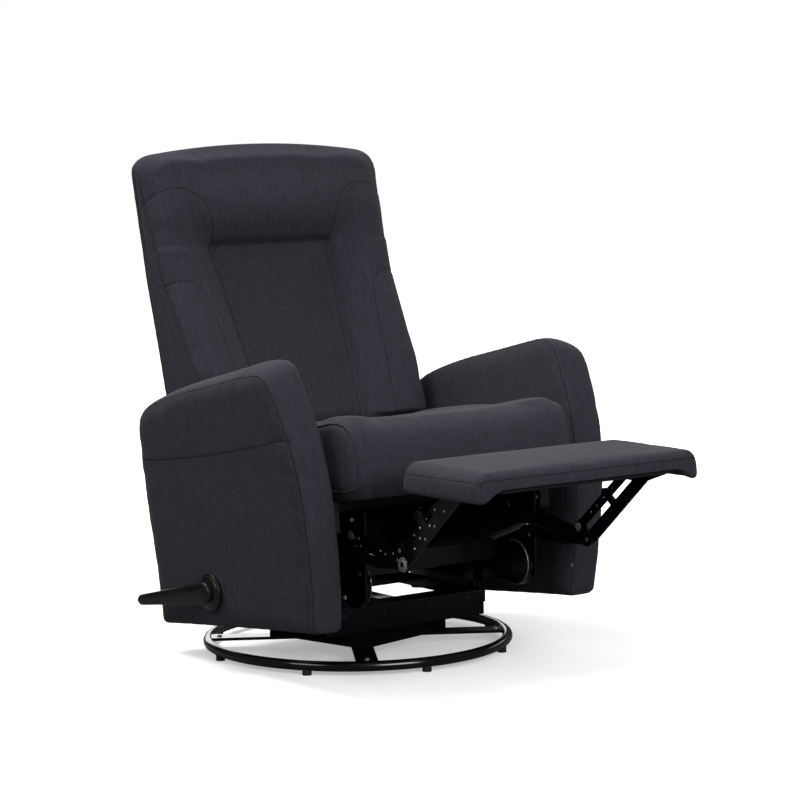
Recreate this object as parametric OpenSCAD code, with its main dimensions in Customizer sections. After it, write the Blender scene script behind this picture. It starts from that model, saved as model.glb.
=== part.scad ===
// Swivel glider recliner with a folding footrest, in millimetres.
// The chair faces -Y, stands on Z = 0 and is drawn with its footrest out.

/* [Base ring] */
// Radius of the floor ring, to the middle of its tube
ring_r = 300; // [260:1:340]
// Radius of the ring's tube
ring_tube_r = 10; // [7:0.5:13]
// Number of feet under the ring
foot_count = 8; // [6:1:12]
// Height of a foot, floor to ring
foot_h = 8; // [6:0.5:14]
// Radius of a foot
foot_r = 9; // [6:0.5:10]
// Width of a cross bar
bar_w = 42; // [30:1:50]
// Thickness of a cross bar
bar_t = 6; // [4:0.5:8]
// Heading of the base under the chair, in degrees
base_turn = -31.8; // [-45:0.1:45]
// Side of the square hub pan
pan_side = 250; // [220:1:270]
// Height of the hub pan
pan_h = 30; // [24:1:34]
// Sheet thickness of the hub pan
pan_t = 4; // [3:0.5:5]

/* [Swivel bearing] */
// Radius of the ball circle
race_r = 82; // [70:1:95]
// Width of a race
race_w = 24; // [18:1:30]
// Thickness of a race
race_t = 3; // [2:0.5:4]
// Radius of a ball
ball_r = 3; // [2.5:0.1:4]
// Number of balls
ball_count = 16; // [12:1:24]
// Radius of the king bolt's shank
king_r = 8; // [6:0.5:10]
// Radius of the king bolt's head
king_head_r = 15; // [12:0.5:18]
// Thickness of the king bolt's head
king_head_t = 7; // [5:0.5:9]

/* [Turning frame] */
// Side of the turning plate
turn_plate_side = 240; // [200:1:280]
// Thickness of the turning plate
turn_plate_t = 4; // [3:0.5:6]
// Width of a saddle beam
saddle_w = 40; // [30:1:50]
// Height of a saddle beam
saddle_h = 16; // [12:1:20]
// Distance from the middle to a saddle beam
saddle_x = 70; // [50:1:90]
// Half the length of the turning frame
turn_half_l = 168; // [158:1:172]
// Half the width of the turning frame
turn_half_w = 190; // [180:1:192]
// Depth of a cross channel
channel_d = 50; // [36:1:56]
// Height of a cross channel
channel_h = 26; // [22:1:30]
// Wall of a cross channel
channel_t = 3; // [2:0.5:4]
// Height of the front apron
apron_h = 24; // [16:1:26]
// Thickness of the front apron
apron_t = 4; // [3:0.5:5]

/* [Swing links] */
// Distance from the swivel axis to a swing link
swing_y = 120; // [100:1:130]
// Length of a swing link between its pivots
swing_l = 100; // [90:1:110]
// Height of the upper swing pivots
swing_top_z = 205; // [200:1:215]
// Width of a swing link
swing_w = 24; // [18:1:28]
// Width of a link post
post_w = 30; // [24:1:34]

/* [Side plates] */
// Thickness of a plate or link in the side mechanism
plate_t = 4; // [3:0.5:4.5]
// Thickness of a footrest link
fold_t = 5; // [4:0.5:5.5]
// Air between neighbouring plates
layer_gap = 1.5; // [1.2:0.1:2]
// Front end of the side plate, ahead of the swivel axis
side_front = 318; // [312:1:322]
// Rear end of the side plate, behind the swivel axis
side_rear = 175; // [168:1:180]
// Lower edge of the side plate over the hangers
side_low_z = 126; // [120:1:130]
// Lower edge of the side plate at its front end
side_front_z = 160; // [150:1:175]
// Lower edge of the side plate at its rear end
side_rear_z = 190; // [180:1:205]
// Half the length of the side plate's lowest edge
side_low_half = 150; // [144:1:160]
// Height of a hanger below the side plate
hanger_h = 36; // [34:1:40]
// Radius of the pivot pins
pin_r = 4; // [3:0.1:5]
// How much narrower a link's straight part is than its round ends
link_waist = 0.2; // [0.1:0.1:1]
// Running clearance around a pin
pin_gap = 0.06; // [0.03:0.01:0.1]
// Radius of a rivet head
head_r = 8; // [6.5:0.5:9]
// Thickness of a rivet head
head_t = 0.8; // [0.5:0.1:0.9]

/* [Chassis rails] */
// Height of the front cross rail
front_rail_h = 38; // [30:1:42]
// Depth of the front cross rail
front_rail_d = 18; // [14:1:22]
// Rear face of the front cross rail, ahead of the swivel axis
front_rail_y = 182; // [178:1:190]
// Lower edge of the front cross rail
front_rail_z = 180; // [172:1:185]
// Sheet thickness of the cross rails
cross_t = 3; // [2:0.5:4]
// Height of the rear cross rail
rear_rail_h = 24; // [18:1:28]
// Front face of the rear cross rail, behind the swivel axis
rear_rail_y = 150; // [146:1:155]
// Lower edge of the rear cross rail
rear_rail_z = 226; // [224:1:232]
// Radius of the round cam disc
cam_r = 45; // [36:1:48]
// Thickness of the cam disc
cam_t = 12; // [8:1:13]
// Distance of the cam disc ahead of the swivel axis
cam_y = 270; // [262:1:274]
// Height of the cam disc
cam_z = 182; // [178:1:188]

/* [Footrest links] */
// Fold pivot, ahead of the swivel axis
fold_y = 290; // [286:1:294]
// Height of the fold pivot
fold_z = 280; // [276:1:282]
// Elbow, ahead of the swivel axis
elbow_y = 462; // [456:1:468]
// Height of the elbow
elbow_z = 247; // [242:1:252]
// Footrest pivot, ahead of the swivel axis
rest_y = 622; // [616:1:626]
// Height of the footrest pivot
rest_z = 388; // [384:1:392]
// Width of a lower link
lower_w = 28; // [22:1:32]
// Width of an upper link
upper_w = 26; // [20:1:28]
// Width of a guide link
guide_w = 18; // [14:1:20]
// Lower guide pivot, behind the elbow
guide_back = 18; // [16:1:20]
// Lower guide pivot, above the elbow
guide_up = 23; // [21:1:25]
// Upper guide pivot, behind the footrest pivot
guide_rest_back = 42; // [38:1:44]
// Upper guide pivot, below the footrest pivot
guide_rest_drop = 2; // [0:1:6]
// Reach of the upper link's short arm from the link's middle
stub_l = 44; // [30:1:48]
// Width of the short arm
stub_w = 16; // [12:1:20]
// Radius of the pale elbow washer
washer_r = 14; // [11:0.5:15]
// Thickness of the elbow washer
washer_t = 0.5; // [0.4:0.1:0.5]

/* [Handle drive] */
// Distance of the torque tube ahead of the swivel axis
tube_y = 12; // [6:1:18]
// Height of the torque tube
tube_z = 150; // [146:1:154]
// Radius of the torque tube
tube_r = 11; // [9:0.5:13]
// Length of a crank between its centres
crank_l = 60; // [56:1:64]
// Direction of the crank at rest, in degrees
crank_angle = 120; // [115:1:125]
// Width of a crank
crank_w = 24; // [20:1:28]
// Distance of the drive lug from the fold pivot
lug_l = 30; // [27:1:32]
// Direction of the drive lug at rest, in degrees
lug_angle = 100; // [95:1:105]
// Width of a drive rod
rod_w = 14; // [12:1:16]
// Radius of the handle's shaft
shaft_r = 8; // [6:0.5:9]
// Radius of the handle's hub
hub_r = 36; // [30:1:40]
// Thickness of the handle's hub
hub_t = 12; // [8:1:13]
// Air between the arm and the handle's hub at its middle
hub_gap = 5; // [4.2:0.1:6]
// Reach of the handle's lever behind its hub
lever_reach = 207; // [180:1:220]
// Drop of the lever's tip below the hub
lever_drop = 39; // [20:1:50]
// Height of the lever at the hub
lever_root_h = 42; // [36:1:48]
// Height of the lever at the tip
lever_tip_h = 20; // [16:1:26]
// Thickness of the lever
lever_t = 10; // [7:1:11]
// Outward run of the lever from hub to tip
lever_out = 24; // [16:1:26]

/* [Footrest] */
// Half the width of the footrest
rest_half_w = 263; // [250:1:264]
// Front edge of the footrest, ahead of the swivel axis
rest_front = 740; // [725:1:745]
// Rear edge of the footrest, ahead of the swivel axis
rest_rear = 500; // [495:1:510]
// Underside of the footrest pad
pad_z = 410; // [406:1:414]
// Thickness of the footrest pad at its crown
pad_t = 38; // [30:1:40]
// Crown of the footrest pad
pad_crown = 6; // [2:0.5:10]
// Edge rounding of the footrest pad
pad_edge = 14; // [8:1:16]
// Thickness of the footrest board
board_t = 8; // [6:0.5:12]
// Height of the side roll below the pad
roll_h = 25; // [18:1:28]
// Thickness of the side roll
roll_t = 12; // [8:1:14]
// Thickness of the flange on a footrest bracket
flange_t = 3; // [2:0.5:4]
// Width of the flange on a footrest bracket
flange_w = 34; // [24:1:36]
// Reach of a footrest bracket ahead of its pivot
bracket_front = 62; // [50:1:70]
// Reach of a footrest bracket behind its pivot
bracket_rear = 56; // [54:1:60]

/* [Seat] */
// Pitch of the seat and arms, rear down, in degrees
pitch = 5.9; // [4:0.1:8]
// Half the width between the seat's side rails
seat_rail_x = 240; // [238:1:242]
// Thickness of a wooden rail
wood_t = 22; // [18:1:24]
// Underside of the seat's side rails in the pitched frame
seat_low = 256; // [250:1:260]
// Height of the seat's side rails
seat_rail_h = 60; // [54:1:62]
// Height of the seat's front rail
seat_front_h = 20; // [16:1:21]
// Front end of the seat frame in the pitched frame
seat_front = 317; // [310:1:322]
// Rear end of the seat frame in the pitched frame
seat_rear = 180; // [176:1:184]
// Leg of the seat angle
angle_leg = 32; // [28:1:36]
// Height of the seat angle above the side rail's underside
angle_up = 36; // [34:1:42]
// Front end of the seat angle in the pitched frame
angle_front = 255; // [245:1:258]
// Rear end of the seat angle in the pitched frame
angle_rear = 140; // [120:1:145]
// Number of seat springs
seat_spring_count = 5; // [4:1:7]
// Thickness of spring wire
wire_t = 4; // [3:0.5:5]
// Half the width of the seat cushion
cushion_half_w = 276; // [266:1:277]
// Length of the seat cushion
cushion_l = 513; // [490:1:513]
// Height of the seat cushion at its front crest
cushion_h = 139; // [110:1:145]
// Rear end of the seat cushion in the pitched frame
cushion_rear = 85; // [75:1:88]
// Rounding at the cushion's ends
cushion_end = 34; // [24:1:44]
// Dish across the cushion's crest
cushion_dish = 8; // [2:0.5:12]
// Air between soft pieces and their neighbours
soft_gap = 0.3; // [0.2:0.1:0.8]

/* [Arms] */
// Length of an arm
arm_l = 586; // [560:1:590]
// Height of an arm
arm_h = 526; // [500:1:530]
// Underside of the arms in the pitched frame
arm_low = 71; // [66:1:76]
// Rear end of an arm's foot in the pitched frame
arm_rear = 199; // [190:1:204]
// Half the width between the arms at their feet
arm_inner = 268; // [267:1:272]
// Thickness of an arm at its foot
arm_foot_t = 70; // [60:1:76]
// Thickness of an arm at its crest
arm_top_t = 88; // [76:1:96]
// Outward lean of an arm's inner face over its height
arm_lean = 33; // [24:1:40]
// Edge rounding of an arm
arm_edge = 12; // [8:1:16]
// Fall of an arm's top towards its outer edge
arm_fall = 26; // [10:1:32]
// Height of an arm cleat
cleat_h = 40; // [30:1:50]
// Length of an arm cleat
cleat_l = 60; // [40:1:80]
// Radius of an arm screw's head
screw_r = 4; // [3:0.5:6]
// Height of an arm screw's head
screw_t = 2; // [1:0.5:3]

/* [Back] */
// Back hinge, behind the swivel axis
hinge_y = 205; // [200:1:210]
// Height of the back hinge
hinge_z = 362; // [358:1:366]
// Lower edge of the back
back_low = 382; // [380:1:388]
// Top of the back at its middle
back_top = 1002; // [980:1:1020]
// Fall of the back's top towards its corners
back_arch = 43; // [20:1:60]
// Half the width of the back at its top
back_half_top = 299; // [285:1:305]
// Half the width of the back at its foot
back_half_low = 265; // [264:1:270]
// Wall of the back's shell
shell_t = 8; // [6:0.5:10]
// Edge rounding of the back's shell
shell_edge = 16; // [10:1:20]
// Half the width of the cavity in the shell
cavity_half_w = 252; // [250:1:254]
// Top of the cavity in the shell
cavity_top = 740; // [720:1:745]
// Height where the lower ends of the back cushions lie
cushion_low = 458; // [455:1:470]
// Height of the lower edge of the head pillow
head_low = 796; // [780:1:810]
// Height where the side bolsters end
bolster_top = 932; // [915:1:940]
// Half the width of the centre panel at its foot
panel_half_low = 115; // [105:1:125]
// Half the width of the centre panel at its top
panel_half_top = 144; // [134:1:154]
// Thickness of the centre panel at its crown
panel_t = 12; // [10:1:16]
// Bulge of a side bolster
bolster_bulge = 30; // [15:1:36]
// Bulge of the head pillow
head_bulge = 46; // [25:1:55]
// How far the head pillow's straight facets keep off the bolsters
head_margin = 3; // [2.5:0.1:5]
// Extra thickness of the head cover along its top edge
head_tuck = 8; // [4:0.5:12]
// Number of back springs
back_spring_count = 4; // [3:1:6]

/* [Hidden] */
$fn = 48;
soft_fn = 32;
// Overrun of a cut through a face
over = 1;

// The origin lies under the middle of the chair's length
back_rear_y = 356;
swivel_y = (rest_front - back_rear_y) / 2;

// Heights of the base, bottom to top
ring_z = foot_h + ring_tube_r;
bar_z = ring_z + bar_t / 3;
pan_z = bar_z + bar_t;
race_z = pan_z + pan_h;
ball_gap = 0.1;
race_upper_z = race_z + race_t + 2 * ball_r + 2 * ball_gap;
turn_plate_z = race_upper_z + race_t;
saddle_z = turn_plate_z + turn_plate_t;
channel_z = saddle_z + saddle_h;
side_top_z = channel_z + channel_h;

// Layers of the side mechanism, counted outwards from the turning frame
layer_step = plate_t + layer_gap;
post_x = turn_half_w;
swing_x = post_x + layer_step;
side_x = swing_x + layer_step;
guide_x = side_x + layer_step;
lower_x = guide_x + layer_step;
upper_x = lower_x + fold_t + layer_gap;
rod_x = upper_x + fold_t + layer_gap;
crank_x = rod_x + layer_step;
swing_low_z = swing_top_z - swing_l;
pin_hole_r = pin_r + pin_gap;

// Places of the linkage in the side view, as distance behind the swivel axis and height
fold_p = [-fold_y, fold_z];
elbow_p = [-elbow_y, elbow_z];
rest_p = [-rest_y, rest_z];
guide_p = elbow_p + [guide_back, guide_up];
guide_rest_p = rest_p + [guide_rest_back, -guide_rest_drop];
tube_p = [-tube_y, tube_z];
crank_p = tube_p + crank_l * [cos(crank_angle), sin(crank_angle)];
lug_p = fold_p + lug_l * [cos(lug_angle), sin(lug_angle)];
hinge_p = [hinge_y, hinge_z];

// Repeated helpers

// A child and its mirror image across the middle
module both() {
    children();
    mirror([1, 0, 0]) children();
}

// One side only: -1 is the sitter's right, +1 the left
module on_side(s) {
    mirror([s < 0 ? 1 : 0, 0, 0]) children();
}

// A side view outline, drawn as (y, z), made t thick outwards from x
module slab(x, t) {
    translate([x, 0, 0]) rotate([90, 0, 90]) linear_extrude(t) children();
}

// The frame about the swivel axis
module at_swivel() {
    translate([0, swivel_y, 0]) children();
}

// The pitched frame of the seat and arms
module at_pitch() {
    at_swivel() rotate([-pitch, 0, 0]) children();
}

// The frame of the base, which the chair turns on
module at_base() {
    at_swivel() rotate([0, 0, base_turn]) children();
}

// A straight bar outline with round ends from p to q
module bar_outline(p, q, w) {
    d = q - p;
    translate(p) circle(d = w);
    translate(q) circle(d = w);
    waist = w - link_waist;
    translate(p) rotate(atan2(d[1], d[0])) translate([0, -waist / 2]) square([norm(d), waist]);
}

// A flat link with a hole at each end, its inner face at x
module link(p, q, w, x, t) {
    slab(x, t) difference() {
        bar_outline(p, q, w);
        translate(p) circle(r = pin_hole_r);
        translate(q) circle(r = pin_hole_r);
    }
}

// A pin along X at p, from x to x1
module pin(p, x, x1) {
    slab(x, x1 - x) translate(p) circle(r = pin_r);
}

// A rivet head at p, its inner face at x
module head(p, x) {
    slab(x, head_t) translate(p) circle(r = head_r);
}

// A C channel along X, open downwards, its outside l long, d deep and h high
module channel(l, d, h, t) {
    translate([-l / 2, 0, 0]) difference() {
        cube([l, d, h]);
        translate([-over, t, -over]) cube([l + 2 * over, d - 2 * t, h - t + over]);
    }
}

// Flat zigzag spring wire along Y, l long and a wide, in n half waves
module zigzag(l, a, n, t) {
    step = l / n;
    r = step / 2;
    run = a - step;
    linear_extrude(t) {
        for (i = [0 : n - 1]) translate([i % 2 == 0 ? run / 2 : -run / 2, (i + 0.5) * step]) difference() {
            circle(r = r + t / 2);
            circle(r = r - t / 2);
            translate([i % 2 == 0 ? -2 * step : 0, -step]) square([2 * step, 2 * step]);
        }
        for (i = [0 : n]) translate([-run / 2 - t / 4, i * step - t / 2]) square([run + t / 2, t]);
    }
}

// Shape functions for soft pieces

// One corner cutting pass round a closed outline
function cut_corners(p) = [
    for (i = [0 : len(p) - 1], k = [0, 1])
        let (a = p[i], b = p[(i + 1) % len(p)]) k == 0 ? a * 3 / 4 + b / 4 : a / 4 + b * 3 / 4
];
// The middle of an outline
function middle(p, i = 0, s = [0, 0]) = i == len(p) ? s / len(p) : middle(p, i + 1, s + p[i]);
// An outline drawn in by e towards its middle
function drawn_in(p, e) = let (c = middle(p)) [for (q = p) c + (q - c) * (1 - e / norm(q - c))];
// How far a round edge of radius r has drawn in at distance d from the end face
function edge_inset(d, r) = d >= r ? 0 : r - sqrt(r * r - (r - d) * (r - d));
// Straight interpolation in a table of [height, value] rows
function along(table, h, i = 0) =
    h <= table[i + 1][0] || i + 2 == len(table)
        ? table[i][1] + (table[i + 1][1] - table[i][1]) * (h - table[i][0]) / (table[i + 1][0] - table[i][0])
        : along(table, h, i + 1);

// A closed solid through rings with an even number of points, each end closed by a strip
module loft(rings) {
    n = len(rings[0]);
    m = len(rings);
    polyhedron(
        points = [for (r = rings, p = r) p],
        faces = concat(
            [for (j = [0 : n / 2 - 2]) [j, j + 1, n - 1 - j]],
            [for (j = [0 : n / 2 - 2]) [j + 1, n - 2 - j, n - 1 - j]],
            [for (i = [0 : m - 2], j = [0 : n - 1]) [i * n + j, (i + 1) * n + j, (i + 1) * n + (j + 1) % n]],
            [for (i = [0 : m - 2], j = [0 : n - 1]) [i * n + j, (i + 1) * n + (j + 1) % n, i * n + (j + 1) % n]],
            [for (j = [0 : n / 2 - 2]) (m - 1) * n * [1, 1, 1] + [j, n - 1 - j, j + 1]],
            [for (j = [0 : n / 2 - 2]) (m - 1) * n * [1, 1, 1] + [j + 1, n - 1 - j, n - 2 - j]]
        ),
        convexity = 4
    );
}

// Base

module ring_form() {
    translate([0, 0, ring_z]) rotate_extrude($fn = 96) translate([ring_r, 0]) circle(r = ring_tube_r);
}

module ring() {
    color("#101216") at_base() ring_form();
}

module feet() {
    color("#17181b") at_base() for (i = [0 : foot_count - 1])
        rotate([0, 0, (i + 0.5) * 360 / foot_count]) difference() {
            translate([ring_r, 0, 0]) cylinder(r = foot_r, h = foot_h + ring_tube_r / 3);
            ring_form();
        }
}

// The bars run to the ring's tube, which cuts their ends
module cross_bars() {
    color("#131518") at_base() difference() {
        translate([0, 0, bar_z]) {
            translate([-ring_r, -bar_w / 2, 0]) cube([2 * ring_r, bar_w, bar_t]);
            translate([-bar_w / 2, -ring_r, 0]) cube([bar_w, 2 * ring_r, bar_t]);
        }
        ring_form();
        translate([0, 0, bar_z - over]) cylinder(r = king_r, h = bar_t + 2 * over);
    }
}

module hub_pan() {
    color("#1a1c20") at_base() rotate([0, 0, 45]) translate([0, 0, pan_z]) difference() {
        translate([-pan_side / 2, -pan_side / 2, 0]) cube([pan_side, pan_side, pan_h]);
        translate([-pan_side / 2 + pan_t, -pan_side / 2 + pan_t, -over])
            cube([pan_side - 2 * pan_t, pan_side - 2 * pan_t, pan_h - pan_t + over]);
        cylinder(r = king_r + pin_gap, h = pan_h + over);
    }
}

// A flat ring of a bearing
module race() {
    difference() {
        cylinder(r = race_r + race_w / 2, h = race_t, $fn = 96);
        translate([0, 0, -over]) cylinder(r = race_r - race_w / 2, h = race_t + 2 * over, $fn = 96);
    }
}

module race_lower() {
    color("#8a8d92") at_base() translate([0, 0, race_z]) race();
}

module race_balls() {
    color("#b9bcc2") at_base() for (i = [0 : ball_count - 1])
        rotate([0, 0, i * 360 / ball_count])
            translate([race_r, 0, race_z + race_t + ball_gap + ball_r]) sphere(r = ball_r, $fn = soft_fn);
}

module king_bolt() {
    color("#9a9da3") at_base() {
        translate([0, 0, bar_z - king_head_t]) cylinder(r = king_head_r, h = king_head_t);
        translate([0, 0, bar_z]) cylinder(r = king_r, h = saddle_z - bar_z + pin_gap);
        translate([0, 0, saddle_z + pin_gap]) cylinder(r = king_head_r, h = king_head_t, $fn = 6);
    }
}

// Turning frame

module race_upper() {
    color("#8a8d92") at_swivel() translate([0, 0, race_upper_z]) race();
}

module turn_plate() {
    color("#1b1d21") at_swivel() translate([0, 0, turn_plate_z]) difference() {
        translate([-turn_plate_side / 2, -turn_plate_side / 2, 0])
            cube([turn_plate_side, turn_plate_side, turn_plate_t]);
        translate([0, 0, -over]) cylinder(r = king_r + pin_gap, h = turn_plate_t + 2 * over);
    }
}

module saddle_beams() {
    color("#17191c") at_swivel() both() translate([saddle_x - saddle_w / 2, -turn_half_l + apron_t, saddle_z])
        cube([saddle_w, 2 * turn_half_l - 2 * apron_t, saddle_h]);
}

module channel_front() {
    color("#202327") at_swivel() translate([0, -turn_half_l, channel_z])
        channel(2 * turn_half_w, channel_d, channel_h, channel_t);
}

module channel_rear() {
    color("#202327") at_swivel() translate([0, turn_half_l - channel_d, channel_z])
        channel(2 * turn_half_w, channel_d, channel_h, channel_t);
}

module apron() {
    color("#2a2d32") at_swivel() translate([-turn_half_w, -turn_half_l, channel_z - apron_h])
        cube([2 * turn_half_w, apron_t, apron_h]);
}

module turn_sides() {
    color("#1d1f23") at_swivel() both() slab(post_x, plate_t)
        translate([-turn_half_l, channel_z]) square([2 * turn_half_l, channel_h]);
}

module link_posts() {
    color("#1d1f23") at_swivel() both() for (y = [-swing_y, swing_y]) {
        slab(post_x, plate_t) {
            translate([y - post_w / 2, side_top_z]) square([post_w, swing_top_z - side_top_z]);
            translate([y, swing_top_z]) circle(d = post_w);
        }
        pin([y, swing_top_z], post_x, swing_x + plate_t + pin_gap);
        head([y, swing_top_z], swing_x + plate_t + pin_gap);
    }
}

module swing_links(y) {
    color("#26292e") at_swivel() both()
        link([y, swing_top_z], [y, swing_low_z], swing_w, swing_x, plate_t);
}

// Chassis

// Height of the side plate's top edge in the pitched frame
side_top = seat_low + angle_up;

module side_plate(s) {
    color("#15171a") at_swivel() on_side(s) slab(side_x, plate_t) difference() {
        polygon([
            [-side_front, side_edge_z(-side_front)],
            [side_rear, side_edge_z(side_rear)],
            [side_rear, side_rear_z],
            [side_low_half, side_low_z],
            [-side_low_half, side_low_z],
            [-side_front, side_front_z]
        ]);
        translate(tube_p) circle(r = tube_r + pin_gap);
    }
}
// Height of the side plate's top edge at y, where the seat angle rests
function side_edge_z(y) = side_top / cos(pitch) - y * tan(pitch);

module hangers() {
    color("#1b1e22") at_swivel() both() for (y = [-swing_y, swing_y]) {
        slab(side_x, plate_t) {
            translate([y - post_w / 2, swing_low_z]) square([post_w, side_low_z - swing_low_z]);
            intersection() {
                translate([y, swing_low_z]) circle(d = post_w);
                translate([y - post_w / 2, side_low_z - hanger_h]) square([post_w, hanger_h]);
            }
        }
        pin([y, swing_low_z], swing_x - pin_gap, side_x);
        head([y, swing_low_z], swing_x - pin_gap - head_t);
    }
}

module cross_rail_front() {
    color("#2b2e34") at_swivel() translate([-side_x, -front_rail_y - front_rail_d, front_rail_z]) difference() {
        cube([2 * side_x, front_rail_d, front_rail_h]);
        translate([-over, cross_t, cross_t])
            cube([2 * side_x + 2 * over, front_rail_d, front_rail_h - 2 * cross_t]);
    }
}

module cross_rail_rear() {
    color("#22252a") at_swivel() translate([-side_x, rear_rail_y, rear_rail_z]) difference() {
        cube([2 * side_x, front_rail_d, rear_rail_h]);
        translate([-over, -over, cross_t])
            cube([2 * side_x + 2 * over, front_rail_d - cross_t + over, rear_rail_h - 2 * cross_t]);
    }
}

module cam_discs() {
    color("#0f1012") at_swivel() both() {
        slab(side_x - cam_t, cam_t) translate([-cam_y, cam_z]) circle(r = cam_r, $fn = 96);
        head([-cam_y, cam_z], side_x - cam_t - head_t);
    }
}

module pivot_studs() {
    color("#c9ccd1") at_swivel() both() {
        pin(fold_p, side_x + plate_t, lower_x + fold_t + pin_gap);
        head(fold_p, lower_x + fold_t + pin_gap);
    }
}

module seat_angles() {
    color("#24272c") at_pitch() both() {
        translate([seat_rail_x - plate_t, -angle_front, side_top])
            cube([plate_t, angle_front + angle_rear, seat_rail_h - angle_up - wire_t]);
        translate([seat_rail_x - angle_leg - plate_t, -angle_front, side_top])
            cube([angle_leg + plate_t, angle_front + angle_rear, plate_t]);
    }
}

module seat_side(s) {
    color("#5a4632") at_pitch() on_side(s) translate([seat_rail_x, -seat_front, seat_low])
        cube([wood_t, seat_front + seat_rear, seat_rail_h]);
}

// Top of the seat frame in the pitched frame
seat_top = seat_low + seat_rail_h;

module seat_front_rail() {
    color("#5a4632") at_pitch() translate([-seat_rail_x, -seat_front, seat_top - seat_front_h])
        cube([2 * seat_rail_x, wood_t, seat_front_h]);
}

// Half the length of the seat's rear rail, between the back hinges
rear_rail_half = seat_rail_x - plate_t + layer_gap / 3;

module seat_rear_rail() {
    color("#5a4632") at_pitch() translate([-rear_rail_half, seat_rear - wood_t, seat_low])
        cube([2 * rear_rail_half, wood_t, seat_rail_h]);
}

// Seat springs lie on the front and rear rails
spring_span = seat_front + seat_rear - wood_t / 2;
seat_pitch_x = 2 * seat_rail_x / (seat_spring_count + 1);
spring_waves = 14;
spring_width_share = 0.66;

module seat_springs() {
    color("#7d8086") at_pitch() for (i = [1 : seat_spring_count])
        translate([-seat_rail_x + i * seat_pitch_x, -seat_front + wood_t / 4, seat_top])
            zigzag(spring_span, spring_width_share * seat_pitch_x, spring_waves, wire_t);
}

// Side view of the seat cushion as shares of its length and height, from its rear foot
cushion_shares = [
    [0, 0], [0.3, 0], [0.62, 0], [0.87, 0], [0.94, 0.03], [0.985, 0.13], [1, 0.33], [0.995, 0.6],
    [0.97, 0.83], [0.93, 0.97], [0.86, 1], [0.7, 0.975], [0.5, 0.945], [0.25, 0.91], [0.07, 0.87], [0, 0.74]
];
cushion_steps_shares = [-1, -0.97, -0.925, -0.87, -0.72, -0.45, 0, 0.45, 0.72, 0.87, 0.925, 0.97, 1];
// Where the dip in the seat ends, across the seat and down from its top, and how much its ends draw in
cushion_dish_across = 0.72;
cushion_dish_from = 0.4;
cushion_end_share = 0.8;
cushion_z = seat_top + wire_t + soft_gap;
cushion_outline = cut_corners([
    for (s = cushion_shares) [cushion_rear - s[0] * cushion_l, cushion_z + s[1] * cushion_h]
]);

module seat_cushion() {
    color("#2d2f38") at_pitch() loft([
        for (u = cushion_steps_shares)
            let (
                d = (1 - abs(u)) * cushion_half_w,
                e = edge_inset(d, cushion_end),
                dish = cushion_dish * max(0, 1 - pow(abs(u) / cushion_dish_across, 2))
            )
            [for (p = drawn_in(cushion_outline, e * cushion_end_share))
                [
                    u * cushion_half_w,
                    min(p[0], cushion_rear),
                    max(p[1], cushion_z) - dish * max(0, (p[1] - cushion_z) / cushion_h - cushion_dish_from)
                ]]
    ]);
}

// Side view of an arm as shares of its length and height, from its rear foot
arm_shares = [
    [0, 0], [0.02, 0], [0.25, 0], [0.7, 0], [0.925, 0], [0.944, 0], [0.948, 0.02], [0.965, 0.09],
    [0.992, 0.28], [1, 0.5], [0.985, 0.66], [0.95, 0.8], [0.905, 0.93], [0.87, 0.985], [0.8, 0.998],
    [0.6, 0.97], [0.32, 0.932], [0.12, 0.88], [0.055, 0.83], [0.035, 0.74], [0.014, 0.5], [0.014, 0.27],
    [0.002, 0.03]
];
arm_steps_shares = [0, 0.04, 0.16, 0.5, 0.84, 0.96, 1];
arm_outline = cut_corners([
    for (s = arm_shares) [arm_rear - s[0] * arm_l, arm_low + s[1] * arm_h]
]);
// Distance of an arm's inner face from the middle, at height z in the pitched frame
function arm_inner_x(z) = arm_inner + arm_lean * (z - arm_low) / arm_h;
function arm_thick(z) = arm_foot_t + (arm_top_t - arm_foot_t) * (z - arm_low) / arm_h;

module arm_form() {
    loft([
        for (u = arm_steps_shares)
            let (e = edge_inset(min(u, 1 - u) * arm_foot_t, arm_edge))
            [for (p = drawn_in(arm_outline, e))
                let (z = p[1] - arm_fall * u * u * pow(max(0, (p[1] - arm_low) / arm_h), 4))
                [arm_inner_x(z) + u * arm_thick(z), p[0], z]]
    ]);
}

module arm_right() {
    color("#2b2d36") difference() {
        at_pitch() on_side(-1) arm_form();
        at_swivel() on_side(-1) slab(arm_inner - over, arm_foot_t + arm_lean + arm_top_t)
            translate(tube_p) circle(r = shaft_r + layer_gap);
    }
}

module arm_left() {
    color("#2b2d36") at_pitch() on_side(1) arm_form();
}

cleat_places_shares = [0.2, 0.5, 0.8];

module arm_cleats() {
    cleat_z = seat_low + (seat_rail_h - cleat_h) / 2;
    color("#a8824f") at_pitch() both() for (s = cleat_places_shares)
        translate([0, -seat_front + s * (seat_front + seat_rear) + cleat_l / 2, 0]) rotate([90, 0, 0])
            linear_extrude(cleat_l) polygon([
                [seat_rail_x + wood_t, cleat_z],
                [arm_inner_x(cleat_z) - soft_gap, cleat_z],
                [arm_inner_x(cleat_z + cleat_h) - soft_gap, cleat_z + cleat_h],
                [seat_rail_x + wood_t, cleat_z + cleat_h]
            ]);
}

arm_screw_share = 0.13;

module arm_screws() {
    screw_z = arm_low + arm_screw_share * arm_h;
    screw_y = arm_rear - arm_l * 0.955;
    color("#d5d8dc") at_pitch() both()
        translate([arm_inner_x(screw_z - screw_r) - screw_t - soft_gap / 4, screw_y, screw_z]) rotate([0, 90, 0])
            cylinder(r = screw_r, h = screw_t);
}

// Plates that carry the back hinge, on the seat's side rails
hinge_plate_w = 30;
hinge_inner_x = seat_rail_x - plate_t + layer_gap / 3;

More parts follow.
